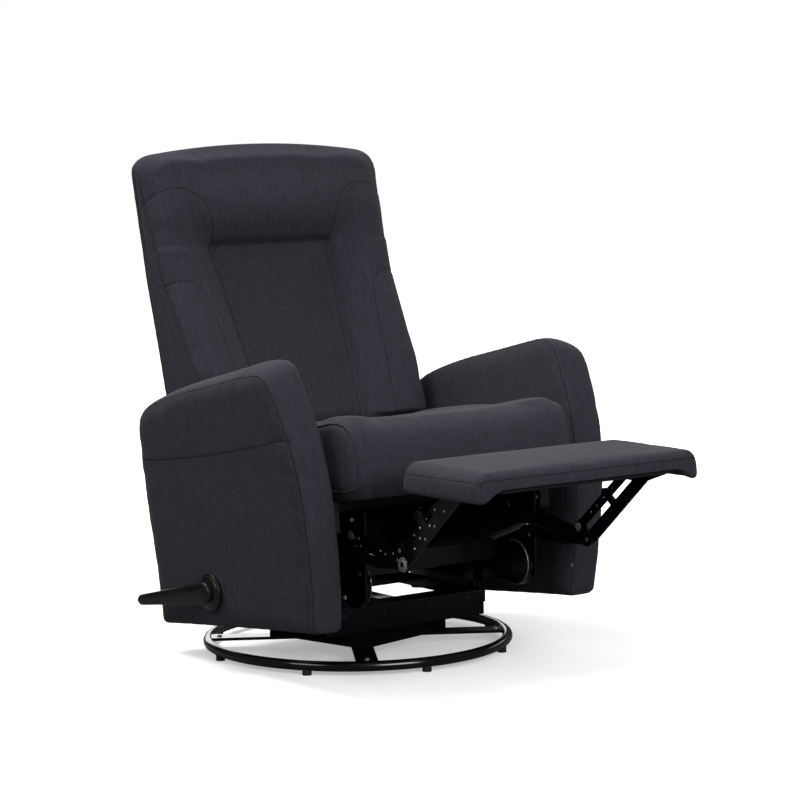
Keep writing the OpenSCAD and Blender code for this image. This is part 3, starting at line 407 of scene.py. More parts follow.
class SoftShop:
    """Blows up padded forms, presses their seams and sews their stitches."""

    STITCH_LENGTH = 3.4
    STITCH_PITCH = 5.0
    STITCH_RADIUS = 0.42
    STITCH_ROWS = ((-1.0, 0.25), (-0.72, 1.0), (0.0, 1.15), (0.72, 1.0), (1.0, 0.25))
    STITCH_SIDES = 6
    # The next four sizes are for the near-black strips laid in seam grooves as painted crease shade.
    CREASE_SHADE_RADIUS = 0.85
    CREASE_SHADE_SUNK = 0.35
    CREASE_SHADE_SIDES = 6
    CREASE_SHADE_PITCH = 4.0
    PRESS_PITCH = 3.0
    PRESS_ROOM = 30.0
    PUCKER_WAVES = (1.9, 0.37)
    PUCKER_REACH = 3.2
    FACE_FROM = 0.45
    FACE_RUN = 0.4
    RELAX = 0.5
    CLOTH = {"quality": 5, "mass": 0.3, "tension_stiffness": 15, "compression_stiffness": 15,
             "bending_stiffness": 0.6, "use_pressure": True}

    def inflate(self, thing: bpy.types.Object, plan: Stuffing) -> None:
        """Gives a closed form the swell of stuffed cloth.

        Args:
            thing: The closed form.
            plan: Its voxels, pressure and the furthest that a point may move.
        """
        if plan.voxel:
            remesh = thing.modifiers.new("remesh", "REMESH")
            remesh.mode = "VOXEL"
            remesh.voxel_size = plan.voxel * MM
            remesh.use_smooth_shade = True
            even = thing.modifiers.new("even", "SMOOTH")
            even.factor = self.RELAX
            even.iterations = plan.even
            settled(thing)
        if plan.cap:
            self._blow_up(thing, plan)
        if not plan.cap:
            return
        finer = thing.modifiers.new("finer", "SUBSURF")
        finer.levels = finer.render_levels = 1
        settled(thing)
        shaded(thing.data)

    def _blow_up(self, thing: bpy.types.Object, plan: Stuffing) -> None:
        """Runs the cloth on a form and keeps each point within the plan's cap.

        Args:
            thing: The closed form.
            plan: Its pressure, cap and face.
        """
        scene = bpy.context.scene
        start, facing = points_of(thing.data), points_of(thing.data, "normal")
        cloth = thing.modifiers.new("cloth", "CLOTH")
        for key, value in self.CLOTH.items():
            setattr(cloth.settings, key, value)
        cloth.settings.uniform_pressure_force = plan.pressure
        cloth.settings.effector_weights.gravity = 0.0
        cloth.collision_settings.use_collision = False
        cloth.point_cache.frame_start, cloth.point_cache.frame_end = 1, plan.frames
        for step in range(1, plan.frames + 1):
            scene.frame_set(step)
        graph = bpy.context.evaluated_depsgraph_get()
        blown = thing.evaluated_get(graph)
        moved = points_of(blown.data) - start
        thing.modifiers.clear()
        scene.frame_set(1)
        reach = np.linalg.norm(moved, axis=1)[:, None] + 1e-12
        moved *= np.minimum(1.0, plan.cap * MM / reach)
        if plan.face:
            moved *= smooth_step((facing @ np.array(plan.face) - self.FACE_FROM) / self.FACE_RUN)[:, None]
        set_points(thing.data, start + moved)

    def press(self, thing: bpy.types.Object, seams: Sequence[Seam]) -> None:
        """Presses sewn lines into a cover, with small puckers beside them.

        Args:
            thing: The cover, already inflated.
            seams: The lines to press in.
        """
        for seam in seams:
            points, normals = points_of(thing.data), points_of(thing.data, "normal")
            line, room = spaced(seam.line, self.PRESS_PITCH * MM), self.PRESS_ROOM * MM
            low, high = line.min(axis=0) - room, line.max(axis=0) + room
            near = np.where(((points > low) & (points < high)).all(axis=1))[0]
            if not len(near):
                continue
            best = np.full(len(near), 1e9)
            where = np.zeros(len(near), int)
            for k, spot in enumerate(line):
                away = ((points[near] - spot) ** 2).sum(axis=1)
                closer = away < best
                best[closer], where[closer] = away[closer], k
            gap = np.sqrt(best) / MM
            groove = seam.depth * np.exp(-((gap / seam.width) ** 2))
            fast, slow = self.PUCKER_WAVES
            ripple = np.sin(where * fast) * np.sin(where * slow + 1.0)
            ease = np.exp(-((gap / (self.PUCKER_REACH * seam.width)) ** 2))
            ease = ease * (1.0 - np.exp(-((gap / seam.width) ** 2)))
            points[near] -= normals[near] * ((groove + seam.pucker * ripple * ease) * MM)[:, None]
            set_points(thing.data, points)

    def close(self, name: str, thing: bpy.types.Object, seams: Sequence[Seam]) -> bpy.types.Object | None:
        """Lays a thin strip of near-black lining along the bottom of each seam's groove, as painted shade in the
        crease.

        Args:
            name: The new piece's name.
            thing: The cover that the seams are pressed into.
            seams: The sewn lines.

        Returns:
            The edges as one piece, or None where there is no seam.
        """
        tree = BVHTree.FromObject(thing, bpy.context.evaluated_depsgraph_get())
        parts = []
        for number, seam in enumerate(seams):
            way = []
            for spot in spaced(seam.line, self.CREASE_SHADE_PITCH * MM):
                hit, normal, _, _ = tree.find_nearest(Vector(spot))
                way.append(np.array(hit - normal * self.CREASE_SHADE_SUNK * self.CREASE_SHADE_RADIUS * MM))
            parts.append(tube(f"edge_{number}", np.array(way), self.CREASE_SHADE_RADIUS * MM, self.CREASE_SHADE_SIDES))
        return joined(name, parts) if parts else None

    def sew(self, name: str, thing: bpy.types.Object, seams: Sequence[Seam]) -> bpy.types.Object | None:
        """Lays rows of stitches beside the seams of a cover.

        Args:
            name: The new piece's name.
            thing: The cover that the stitches lie on.
            seams: The sewn lines, each with the offsets of its rows.

        Returns:
            The stitches as one piece, or None where no seam has a row.
        """
        tree = BVHTree.FromObject(thing, bpy.context.evaluated_depsgraph_get())
        verts: list[Vector] = []
        faces: list[tuple[int, ...]] = []
        for seam in seams:
            for offset in seam.stitches:
                self._row(tree, seam.line, offset, verts, faces)
        if not faces:
            return None
        return new_object(name, np.array([tuple(v) for v in verts]), faces)

    def _row(self, tree: BVHTree, line: np.ndarray, offset: float, verts: list[Vector],
             faces: list[tuple[int, ...]]) -> None:
        """Adds one row of stitches at an offset from a line.

        Args:
            tree: The cover's surface.
            line: The sewn line.
            offset: Distance of the row from the line, in millimetres.
            verts: Takes the stitches' points.
            faces: Takes their faces.
        """
        spots = spaced(line, self.STITCH_PITCH * MM)
        for a, b in zip(spots[:-1], spots[1:]):
            middle, way = Vector((a + b) / 2), Vector(b - a).normalized()
            spot, normal, _, _ = tree.find_nearest(middle)
            if spot is None:
                continue
            side = way.cross(normal).normalized()
            spot, normal, _, _ = tree.find_nearest(spot + side * offset * MM)
            reach = self.STITCH_LENGTH * MM / 2
            radius = self.STITCH_RADIUS * MM
            start, sides = len(verts), self.STITCH_SIDES
            for run, wide in self.STITCH_ROWS:
                for turn in range(sides):
                    angle = turn * 2 * math.pi / sides
                    out = normal * (math.sin(angle) * radius * wide + radius * 0.25 * (1 - run * run))
                    verts.append(spot + way * run * reach + side * math.cos(angle) * radius * wide + out)
            for first in range(start, start + (len(self.STITCH_ROWS) - 1) * sides, sides):
                for turn in range(sides):
                    u = (turn + 1) % sides
                    faces.append((first + turn, first + u, first + sides + u, first + sides + turn))
            faces.append(tuple(range(start, start + sides)))
            faces.append(tuple(range(len(verts) - sides, len(verts))))


SHOP = SoftShop()


# Finishes


class Nodes:
    """A short way to write a node tree."""

    def __init__(self, tree: bpy.types.NodeTree) -> None:
        """Takes the tree that is to be filled."""
        self.tree = tree

    def add(self, kind: str, inputs: dict[str | int, object] | None = None, **settings: object) -> bpy.types.Node:
        """Adds a node.

        Args:
            kind: The node's type name.
            inputs: Values or sockets for its inputs, by name or number.
            settings: Its own settings.

        Returns:
            The node.
        """
        node = self.tree.nodes.new(kind)
        for key, value in settings.items():
            setattr(node, key, value)
        self.fill(node, inputs or {})
        return node

    def fill(self, node: bpy.types.Node, inputs: dict[str | int, object]) -> None:
        """Gives a node's inputs their values or links, by name or number.

        Args:
            node: The node.
            inputs: A value or socket for each input.
        """
        for key, value in inputs.items():
            if isinstance(value, bpy.types.NodeSocket):
                self.tree.links.new(value, node.inputs[key])
            else:
                node.inputs[key].default_value = value

    def maths(self, operation: str, a: object, b: object = 0.0, clamp: bool = False) -> bpy.types.NodeSocket:
        """Adds a sum and gives its result."""
        return self.add("ShaderNodeMath", {0: a, 1: b}, operation=operation, use_clamp=clamp).outputs[0]

    def summed(self, *values: object) -> bpy.types.NodeSocket:
        """Adds up several values.

        Args:
            values: Sockets or numbers.

        Returns:
            Their sum.
        """
        total = values[0]
        for value in values[1:]:
            total = self.maths("ADD", total, value)
        return total

    def ranged(self, value: object, low: float, high: float, to_low: float = 0.0,
               to_high: float = 1.0) -> bpy.types.NodeSocket:
        """Maps a value's range smoothly to another."""
        inputs = {"Value": value, "From Min": low, "From Max": high, "To Min": to_low, "To Max": to_high}
        return self.add("ShaderNodeMapRange", inputs, interpolation_type="SMOOTHSTEP").outputs["Result"]

    def tinted(self, share: object, a: object, b: object) -> bpy.types.NodeSocket:
        """Mixes two colours by a share."""
        return self.add("ShaderNodeMix", {0: share, 6: a, 7: b}, data_type="RGBA").outputs[2]

    def stretched(self, source: object, scale: Sequence[float]) -> bpy.types.NodeSocket:
        """Scales coordinates."""
        return self.add("ShaderNodeMapping", {"Vector": source, "Scale": tuple(scale)}).outputs[0]

    def noise(self, source: object, scale: float, detail: float = 2.0, rough: float = 0.5) -> bpy.types.NodeSocket:
        """Adds noise and gives its value."""
        inputs = {"Vector": source, "Scale": scale, "Detail": detail, "Roughness": rough}
        return self.add("ShaderNodeTexNoise", inputs).outputs[0]


class SharedGroup:
    """A node group that several finishes use, each with its own values."""

    name = ""
    inputs: dict[str, float] = {}
    outputs: tuple[str, ...] = ()
    vectors: tuple[str, ...] = ()

    def __init__(self) -> None:
        """Builds the group with its named sockets."""
        self.tree = bpy.data.node_groups.new(self.name, "ShaderNodeTree")
        for key, value in self.inputs.items():
            socket = self.tree.interface.new_socket(key, in_out="INPUT", socket_type="NodeSocketFloat")
            socket.default_value = value
        for keys, kind in ((self.outputs, "NodeSocketFloat"), (self.vectors, "NodeSocketVector")):
            for key in keys:
                self.tree.interface.new_socket(key, in_out="OUTPUT", socket_type=kind)
        nodes = Nodes(self.tree)
        given = nodes.add("NodeGroupInput").outputs
        nodes.fill(nodes.add("NodeGroupOutput"), self.write(nodes, given))

    def write(self, n: Nodes, given: bpy.types.NodeOutputs) -> dict[str, object]:
        """Fills the group and gives what goes to each output."""
        raise NotImplementedError

    def place(self, n: Nodes, **values: float) -> bpy.types.NodeOutputs:
        """Places the group in a material with its values and gives its outputs."""
        return n.add("ShaderNodeGroup", values, node_tree=self.tree).outputs


class Weave(SharedGroup):
    """Streaked linen: tone, height and fluff, with the warp upright or front to back."""

    name = "Weave"
    inputs = {"Streak": 0.46, "Slub": 0.16, "Weft": 0.22, "Thread": 0.16}
    outputs = ("Tone", "Height", "Fluff")
    STREAK = 1 / 0.0016
    STREAK_RUN = 1 / 0.022
    SLUB = 1 / 0.0045
    SLUB_RUN = 1 / 0.09
    THREAD = 1 / 0.0009
    FLUFF = 9.0

    def write(self, n: Nodes, given: bpy.types.NodeOutputs) -> dict[str, object]:
        """Fills the group and gives what goes to each output.

        Args:
            n: The group's writer.
            given: The group's input sockets.

        Returns:
            What goes to each output.
        """
        place = n.add("ShaderNodeTexCoord")
        spot, facing = place.outputs["Object"], place.outputs["Normal"]
        sideways = n.maths("ABSOLUTE", n.add("ShaderNodeSeparateXYZ", {0: facing}).outputs[0])
        side = n.ranged(sideways, 0.6, 0.78)
        plain, sided = (self._threads(n, given, spot, way) for way in (False, True))
        made = {}
        for key in ("Tone", "Height"):
            mix = n.add("ShaderNodeMix", {0: side, 2: plain[key], 3: sided[key]}, data_type="FLOAT")
            made[key] = mix.outputs[0]
        made["Fluff"] = n.ranged(n.noise(spot, self.FLUFF, 3.0), 0.3, 0.7)
        return made

    def _threads(self, n: Nodes, given: bpy.types.NodeOutputs, spot: object, sided: bool) -> dict[str, object]:
        """Mixes streaks, slubs, weft and thread for a warp along one axis.

        Args:
            n: The group's writer.
            given: Its input sockets.
            spot: Coordinates in metres.
            sided: Whether the warp runs front to back.

        Returns:
            Tone and height of the threads.
        """
        def run(across: float, long: float) -> bpy.types.NodeSocket:
            """Scales coordinates for threads that run along one axis."""
            return n.stretched(spot, (long, across, long) if sided else (across, long, long))

        kinds = {
            "Streak": n.noise(run(self.STREAK, self.STREAK_RUN), 1.0, 3.0, 0.6),
            "Slub": n.noise(run(self.SLUB, self.SLUB_RUN), 1.0, 2.0, 0.5),
            "Weft": n.noise(run(self.STREAK_RUN, self.STREAK), 1.0, 2.0),
            "Thread": n.noise(run(self.THREAD, self.THREAD / 4), 1.0, 1.0),
        }
        tone = n.summed(*(n.maths("MULTIPLY", value, given[key]) for key, value in kinds.items()))
        thread, streak = n.maths("MULTIPLY", kinds["Thread"], 0.6), n.maths("MULTIPLY", kinds["Streak"], 0.4)
        return {"Tone": tone, "Height": n.summed(thread, streak)}


class Wear(SharedGroup):
    """Rubbed edges and a film of dust for painted, plated and moulded pieces."""

    name = "Wear"
    inputs = {"Wear": 0.5, "Dust": 0.12}
    outputs = ("Edge", "Dusty", "Film", "Peel")
    vectors = ("Rounded",)
    BEVEL = 0.0009
    RUB = 55.0
    FILM = 14.0
    PEEL = 420.0

    def write(self, n: Nodes, given: bpy.types.NodeOutputs) -> dict[str, object]:
        """Fills the group and gives what goes to each output.

        Args:
            n: The group's writer.
            given: The group's input sockets.

        Returns:
            What goes to each output.
        """
        spot = n.add("ShaderNodeTexCoord").outputs["Object"]
        bevel = n.add("ShaderNodeBevel", {"Radius": self.BEVEL}, samples=4).outputs[0]
        plain = n.add("ShaderNodeNewGeometry").outputs["Normal"]
        turn = n.add("ShaderNodeVectorMath", {0: bevel, 1: plain}, operation="DOT_PRODUCT").outputs["Value"]
        rub = n.ranged(n.noise(spot, self.RUB, 4.0, 0.65), 0.42, 0.62)
        edge = n.maths("MULTIPLY", n.ranged(turn, 0.99, 0.86), rub)
        film = n.ranged(n.noise(spot, self.FILM, 5.0, 0.6), 0.3, 0.75)
        return {
            "Edge": n.maths("MULTIPLY", edge, given["Wear"]), "Dusty": n.maths("MULTIPLY", film, given["Dust"]),
            "Film": film, "Peel": n.noise(spot, self.PEEL, 2.0), "Rounded": bevel,
        }


class Grain(SharedGroup):
    """Wood grain that runs across the chair."""

    name = "Grain"
    inputs = {"Rings": 0.65, "Pores": 0.4}
    outputs = ("Ring", "Late", "Pore", "Dark")
    BEND = (3.0, 22.0, 22.0)
    RING = (3.0, 60.0, 45.0)
    PORE = (90.0, 900.0, 900.0)

    def write(self, n: Nodes, given: bpy.types.NodeOutputs) -> dict[str, object]:
        """Fills the group and gives what goes to each output.

        Args:
            n: The group's writer.
            given: The group's input sockets.

        Returns:
            What goes to each output.
        """
        spot = n.add("ShaderNodeTexCoord").outputs["Object"]
        bent = n.noise(n.stretched(spot, self.BEND), 1.0, 3.0)
        rings = n.add("ShaderNodeTexWave", {"Vector": n.stretched(spot, self.RING), "Scale": 1.4,
                                            "Distortion": n.maths("MULTIPLY", bent, 9.0)}).outputs[1]
        pores = n.noise(n.stretched(spot, self.PORE), 1.0, 2.0)
        dark = n.maths("MULTIPLY", n.ranged(pores, 0.55, 0.75), given["Pores"])
        return {"Ring": rings, "Late": n.maths("MULTIPLY", rings, given["Rings"]), "Pore": pores, "Dark": dark}


WEAVE, WEAR, GRAIN = Weave(), Wear(), Grain()


def linear(colour: Rgb) -> tuple[float, float, float, float]:
    """Turns a colour from 0 to 255 as seen on a screen into the shader's own scale."""
    parts = [c / 255 for c in colour]
    return (*[p / 12.92 if p <= 0.04045 else ((p + 0.055) / 1.055) ** 2.4 for p in parts], 1.0)


def new_material(name: str) -> tuple[bpy.types.Material, Nodes, bpy.types.Node]:
    """Starts a material and gives it, its writer and its surface shader.

    Args:
        name: The material's name.

    Returns:
        The material, its writer and its shader.
    """
    material = bpy.data.materials.new(name)
    material.use_nodes = True
    nodes = Nodes(material.node_tree)
    shader = next(k for k in material.node_tree.nodes if k.type == "BSDF_PRINCIPLED")
    return material, nodes, shader


@dataclass(frozen=True)
class WovenCloth:
    """Linen-like upholstery cloth with light and dark warp streaks."""

    name: str
    dark: Rgb
    light: Rgb
    sheen: float = 0.12
    bump: float = 0.35
    rough: Point = (0.78, 0.95)
    streak: float = 0.46
    slub: float = 0.16
    weft: float = 0.22
    thread: float = 0.16
    fluff: float = 0.10
    relief: float = 0.0009
    fuzz: float = 0.45
    shine: float = 0.25

    def build(self) -> bpy.types.Material:
        """Makes the material.

        Returns:
            The material.
        """
        material, n, shader = new_material(self.name)
        weave = WEAVE.place(n, Streak=self.streak, Slub=self.slub, Weft=self.weft, Thread=self.thread)
        colour = n.tinted(n.ranged(weave["Tone"], 0.34, 0.66), linear(self.dark), linear(self.light))
        colour = n.tinted(n.maths("MULTIPLY", weave["Fluff"], self.fluff), colour, linear(self.light))
        bump = n.add("ShaderNodeBump", {"Height": weave["Height"], "Strength": self.bump, "Distance": self.relief})
        n.fill(shader, {
            "Base Color": colour, "Roughness": n.ranged(weave["Height"], 0.3, 0.7, *self.rough),
            "Normal": bump.outputs[0], "Sheen Weight": self.sheen, "Sheen Roughness": self.fuzz,
            "Specular IOR Level": self.shine,
        })
        return material


@dataclass(frozen=True)
class Metal:
    """Painted, plated or bare metal with rubbed edges and a little dust."""

    name: str
    body: Rgb
    edge: Rgb
    dust: Rgb
    metallic: float
    rough: Point
    shine: float = 0.5
    coat: float = 0.0
    wear: float = 0.5
    film: float = 0.12
    peel: float = 0.05
    relief: float = 0.0004
    coat_rough: float = 0.12

    def build(self) -> bpy.types.Material:
        """Makes the material.

        Returns:
            The material.
        """
        material, n, shader = new_material(self.name)
        wear = WEAR.place(n, Wear=self.wear, Dust=self.film)
        colour = n.tinted(wear["Dusty"], linear(self.body), linear(self.dust))
        colour = n.tinted(wear["Edge"], colour, linear(self.edge))
        bump = n.add("ShaderNodeBump", {"Height": wear["Peel"], "Strength": self.peel, "Distance": self.relief,
                                        "Normal": wear["Rounded"]})
        n.fill(shader, {
            "Base Color": colour, "Roughness": n.ranged(wear["Film"], 0.0, 1.0, *self.rough),
            "Normal": bump.outputs[0], "Metallic": self.metallic, "Specular IOR Level": self.shine,
            "Coat Weight": self.coat, "Coat Roughness": self.coat_rough,
        })
        return material


@dataclass(frozen=True)
class Timber:
    """Sawn rail or plywood with grain."""

    name: str
    early: Rgb
    late: Rgb
    rings: float = 0.65
    pores: float = 0.4
    rough: Point = (0.6, 0.8)
    bump: float = 0.3
    relief: float = 0.0004

    def build(self) -> bpy.types.Material:
        """Makes the material.

        Returns:
            The material.
        """
        material, n, shader = new_material(self.name)
        grain = GRAIN.place(n, Rings=self.rings, Pores=self.pores)
        colour = n.tinted(grain["Late"], linear(self.early), linear(self.late))
        colour = n.tinted(grain["Dark"], colour, linear(self.late))
        bump = n.add("ShaderNodeBump", {"Height": grain["Pore"], "Strength": self.bump, "Distance": self.relief})
        n.fill(shader, {
            "Base Color": colour, "Roughness": n.ranged(grain["Ring"], 0.0, 1.0, *self.rough),
            "Normal": bump.outputs[0],
        })
        return material


@dataclass(frozen=True)
class Moulded:
    """Moulded plastic or rubber with a fine spark-eroded grain."""

    name: str
    body: Rgb
    worn: Rgb
    rough: Point
    grain: float = 900.0
    bump: float = 0.25
    shine: float = 0.3
    wear: float = 0.5
    film: float = 0.18
    relief: float = 0.0003

    def build(self) -> bpy.types.Material:
        """Makes the material.

        Returns:
            The material.
        """
        material, n, shader = new_material(self.name)
        wear = WEAR.place(n, Wear=self.wear, Dust=self.film)
        fine = n.noise(n.add("ShaderNodeTexCoord").outputs["Object"], self.grain, 2.0)
        colour = n.tinted(wear["Dusty"], linear(self.body), linear(self.worn))
        colour = n.tinted(wear["Edge"], colour, linear(self.worn))
        bump = n.add("ShaderNodeBump", {"Height": fine, "Strength": self.bump, "Distance": self.relief,
                                        "Normal": wear["Rounded"]})
        n.fill(shader, {
            "Base Color": colour, "Roughness": n.ranged(wear["Film"], 0.0, 1.0, *self.rough),
            "Normal": bump.outputs[0], "Specular IOR Level": self.shine,
        })
        return material


class Finish(Enum):
    """Every finish on the chair."""

    CLOTH = WovenCloth("upholstery_cloth", (31, 32, 37), (52, 53, 62), sheen=0.06)
    PANEL = WovenCloth("lumbar_cloth", (30, 30, 35), (49, 50, 57), sheen=0.06)
    LINING = WovenCloth("black_lining", (13, 13, 15), (27, 28, 31), sheen=0.02, bump=0.2)
    THREAD = WovenCloth("sewing_thread", (34, 35, 40), (66, 68, 76), sheen=0.05, bump=0.15)
    GLOSS = Metal("gloss_black_enamel", (6, 7, 10), (52, 56, 62), (22, 25, 31), 0.0, (0.14, 0.26), shine=0.45,
                  coat=0.4, wear=0.35)
    SATIN = Metal("satin_black_steel", (3, 3, 4), (44, 46, 50), (10, 10, 12), 0.0, (0.14, 0.26), shine=0.22, wear=0.5)
    GREY = Metal("grey_plated_steel", (26, 28, 32), (96, 98, 103), (24, 25, 28), 0.5, (0.2, 0.34), shine=0.35)
    ZINC = Metal("bright_zinc", (196, 199, 204), (232, 233, 236), (132, 134, 138), 0.9, (0.2, 0.4))
    SPRING = Metal("oiled_spring_wire", (120, 122, 128), (190, 192, 196), (64, 64, 66), 0.85, (0.28, 0.42))
    # Rail wood coloured near black.
    WOOD = Timber("near_black_rail_wood", (25, 22, 19), (13, 11, 10))
    RUBBER = Moulded("black_rubber", (24, 24, 25), (70, 70, 72), (0.7, 0.85), 1400.0, 0.3)
    PLASTIC = Moulded("moulded_black_plastic", (8, 8, 10), (30, 31, 35), (0.26, 0.4), bump=0.12, shine=0.4)

    @property
    def material(self) -> bpy.types.Material:
        """The finish's material, built on first use."""
        found = bpy.data.materials.get(self.value.name)
        return found or self.value.build()


def dress(thing: bpy.types.Object, finish: Finish, slot: str | None = None) -> bpy.types.Object:
    """Gives a piece one finish.

    Args:
        thing: The piece.
        finish: Its finish.
        slot: Not used.

    Returns:
        The piece.
    """
    thing.data.materials.clear()
    thing.data.materials.append(finish.material)
    thing.data.polygons.foreach_set("material_index", [0] * len(thing.data.polygons))
    return thing


# Upholstery


@dataclass
class Cushion:
    """One padded piece: how it is finished, what it stands for and what it rides on."""

    name: str
    body: str
    replaces: tuple[str, ...]
    slot: str = "fabric_charcoal"
    finish: Finish = Finish.CLOTH
    stuffing: Stuffing = Stuffing()

    def form(self) -> bpy.types.Object:
        """Builds the closed start form."""
        raise NotImplementedError

    def seams(self) -> list[Seam]:
        """Gives the sewn lines."""
        return []

    def trim(self, points: np.ndarray) -> np.ndarray:
        """Keeps the blown-up cover off its neighbours; points are in metres."""
        return points

    def extras(self, cover: bpy.types.Object) -> list[bpy.types.Object]:
        """Adds small pieces that lie on the cover."""
        return []

    def build(self) -> bpy.types.Object:
        """Makes, dresses and mounts the piece.

        Returns:
            The cover.
        """
        cover = self.form()
        SHOP.inflate(cover, self.stuffing)
        set_points(cover.data, self.trim(points_of(cover.data)))
        seams = self.seams()
        SHOP.press(cover, seams)
        dress(cover, self.finish, self.slot)
        pieces = self.extras(cover)
        # Near-black strips laid in the seam grooves are painted crease shade.
        edges = SHOP.close(f"{self.name}_seams", cover, seams)
        if edges:
            pieces.append(dress(edges, Finish.LINING, self.slot))
        stitches = SHOP.sew(f"{self.name}_stitches", cover, seams)
        if stitches:
            pieces.append(dress(stitches, Finish.THREAD, self.slot))
        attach(cover, self.body)
        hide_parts(*self.replaces)
        for piece in pieces:
            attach(piece, self.body)
        LOG.info("%s: %d faces, %d seams", self.name, len(cover.data.polygons), len(seams))
        return cover


def eased_steps(count: int, crowd: float = 0.45) -> np.ndarray:
    """Gives shares from 0 to 1, crowded towards both ends."""
    even = np.linspace(0.0, 1.0, count)
    return even * (1 - crowd) + (0.5 - 0.5 * np.cos(math.pi * even)) * crowd


def piping(name: str, cover: bpy.types.Object, line: np.ndarray, radius: float,
           lift: float = 0.4) -> bpy.types.Object:
    """Lays a covered cord along a line on a cover.

    Args:
        name: The piece's name.
        cover: The cover that it lies on.
        line: Its way, in metres, near the cover.
        radius: Its radius in millimetres.
        lift: How far its centre stands off the cover, in radii.

    Returns:
        The cord in the cover's cloth.
    """
    tree = BVHTree.FromObject(cover, bpy.context.evaluated_depsgraph_get())
    way = []
    for spot in spaced(line, 5 * MM):
        hit, normal, _, _ = tree.find_nearest(Vector(spot))
        way.append(np.array(hit + normal * radius * lift * MM))
    way = np.array(way)
    for _ in range(2):
        inner = (np.roll(way, 1, axis=0) + 2 * way + np.roll(way, -1, axis=0)) / 4
        way[1:-1] = inner[1:-1]
    return dress(tube(name, way, radius * MM, 8), Finish.CLOTH, "fabric_charcoal")


@dataclass
class SeatCushion(Cushion):
    """The seat cushion, in the pitched frame."""

    half: float = 276.0
    length: float = 513.0
    height: float = 141.0
    rear: float = 85.0
    foot: float = 320.3
    end: float = 34.0
    dish: float = 8.0
    inset: float = 5.0
    boxing: float = 0.945
    lift: float = 13.0
    swell: float = 3.0
    dish_reach: float = 0.72
    lift_from: float = 0.6
    lift_run: float = 0.3
    seam_out: float = 4.0
    seam_foot: float = 12.0
    end_steps: tuple[float, ...] = (0.93, 0.82, 0.68, 0.52, 0.36, 0.2, 0.07)
    shares: tuple[Point, ...] = (
        (0, 0), (0.3, 0), (0.62, 0), (0.87, 0), (0.94, 0.03), (0.985, 0.13), (1, 0.33), (0.995, 0.6),
        (0.97, 0.83), (0.93, 0.97), (0.86, 1), (0.7, 0.975), (0.5, 0.945), (0.25, 0.91), (0.07, 0.87), (0, 0.74),
    )

    def outline(self) -> np.ndarray:
        """Draws the side view as rows of distance and height."""
        rows = np.array([(self.rear - a * self.length, self.foot + b * self.height) for a, b in self.shares])
        return cut_corners(rows, 3)

    def ring(self, share: float, inset: float) -> np.ndarray:
        """Gives the outline at a share of the half width, drawn in by the inset.

        Args:
            share: From -1 at the right end to 1 at the left.
            inset: How far it is drawn in.

        Returns:
            Points of the pitched frame.
        """
        gap = (1 - abs(share)) * self.half
        rows = drawn_in(self.outline(), inset + 0.8 * edge_inset(gap, self.end))
        hollow = self.dish * max(0.0, 1 - (abs(share) / self.dish_reach) ** 2)
        hollow -= self.lift * float(smooth_step((abs(share) - self.lift_from) / self.lift_run))
        rise = np.clip((rows[:, 1] - self.foot) / self.height - 0.4, 0.0, None)
        y = np.minimum(rows[:, 0], self.rear - inset)
        z = np.maximum(rows[:, 1], self.foot + inset * 0.4) - hollow * rise
        return np.stack([np.full(len(rows), share * (self.half - inset)), y, z], axis=1)

    def form(self) -> bpy.types.Object:
        """Builds the closed start form.

        Returns:
            The form.
        """
        rings = [self.ring(s, self.inset) for s in 2 * eased_steps(61, 0.8) - 1]
        for side, at in ((-1, 0), (1, -1)):
            end = rings[at]
            middle = np.array((end[0, 0], end[:, 1].mean(), end[:, 2].mean()))
            inner = [middle + (end - middle) * s + (side * self.swell * (1 - s * s), 0.0, 0.0) for s in self.end_steps]
            rings = inner[::-1] + rings if side < 0 else rings + inner
        return loft(self.name, CHAIR.pitched(np.array(rings)))

    def trim(self, points: np.ndarray) -> np.ndarray:
        """Keeps the cushion between the arms."""
        points[:, 0] = np.clip(points[:, 0], -self.half * MM, self.half * MM)
        return points

    def edge_line(self, side: int) -> np.ndarray:
        """Gives the sewn line round one end.

        Args:
            side: -1 for the right end, 1 for the left.

        Returns:
            The line in metres.
        """
        rows = self.ring(side * self.boxing, -self.seam_out)
        keep = rows[:, 2] > self.foot + self.seam_foot
        start = int(np.argmin(np.where(keep, -rows[:, 1], 1e9)))
        order = np.roll(np.arange(len(rows)), -start)
        rows = np.array([rows[k] for k in order if keep[k]])
        around = np.arctan2(rows[:, 2] - rows[:, 2].mean(), -(rows[:, 1] - rows[:, 1].mean()))
        return CHAIR.pitched(rows[np.argsort(around)])

    def seams(self) -> list[Seam]:
        """Gives a seam round each end of the cushion."""
        return [Seam(self.edge_line(s), depth=2.6, width=5.0, pucker=0.6) for s in (-1, 1)]

    def extras(self, cover: bpy.types.Object) -> list[bpy.types.Object]:
        """Adds the piping round both ends."""
        return [piping(f"seat_piping_{word}", cover, self.edge_line(side), 1.9, 0.6) for side, word in SIDES]


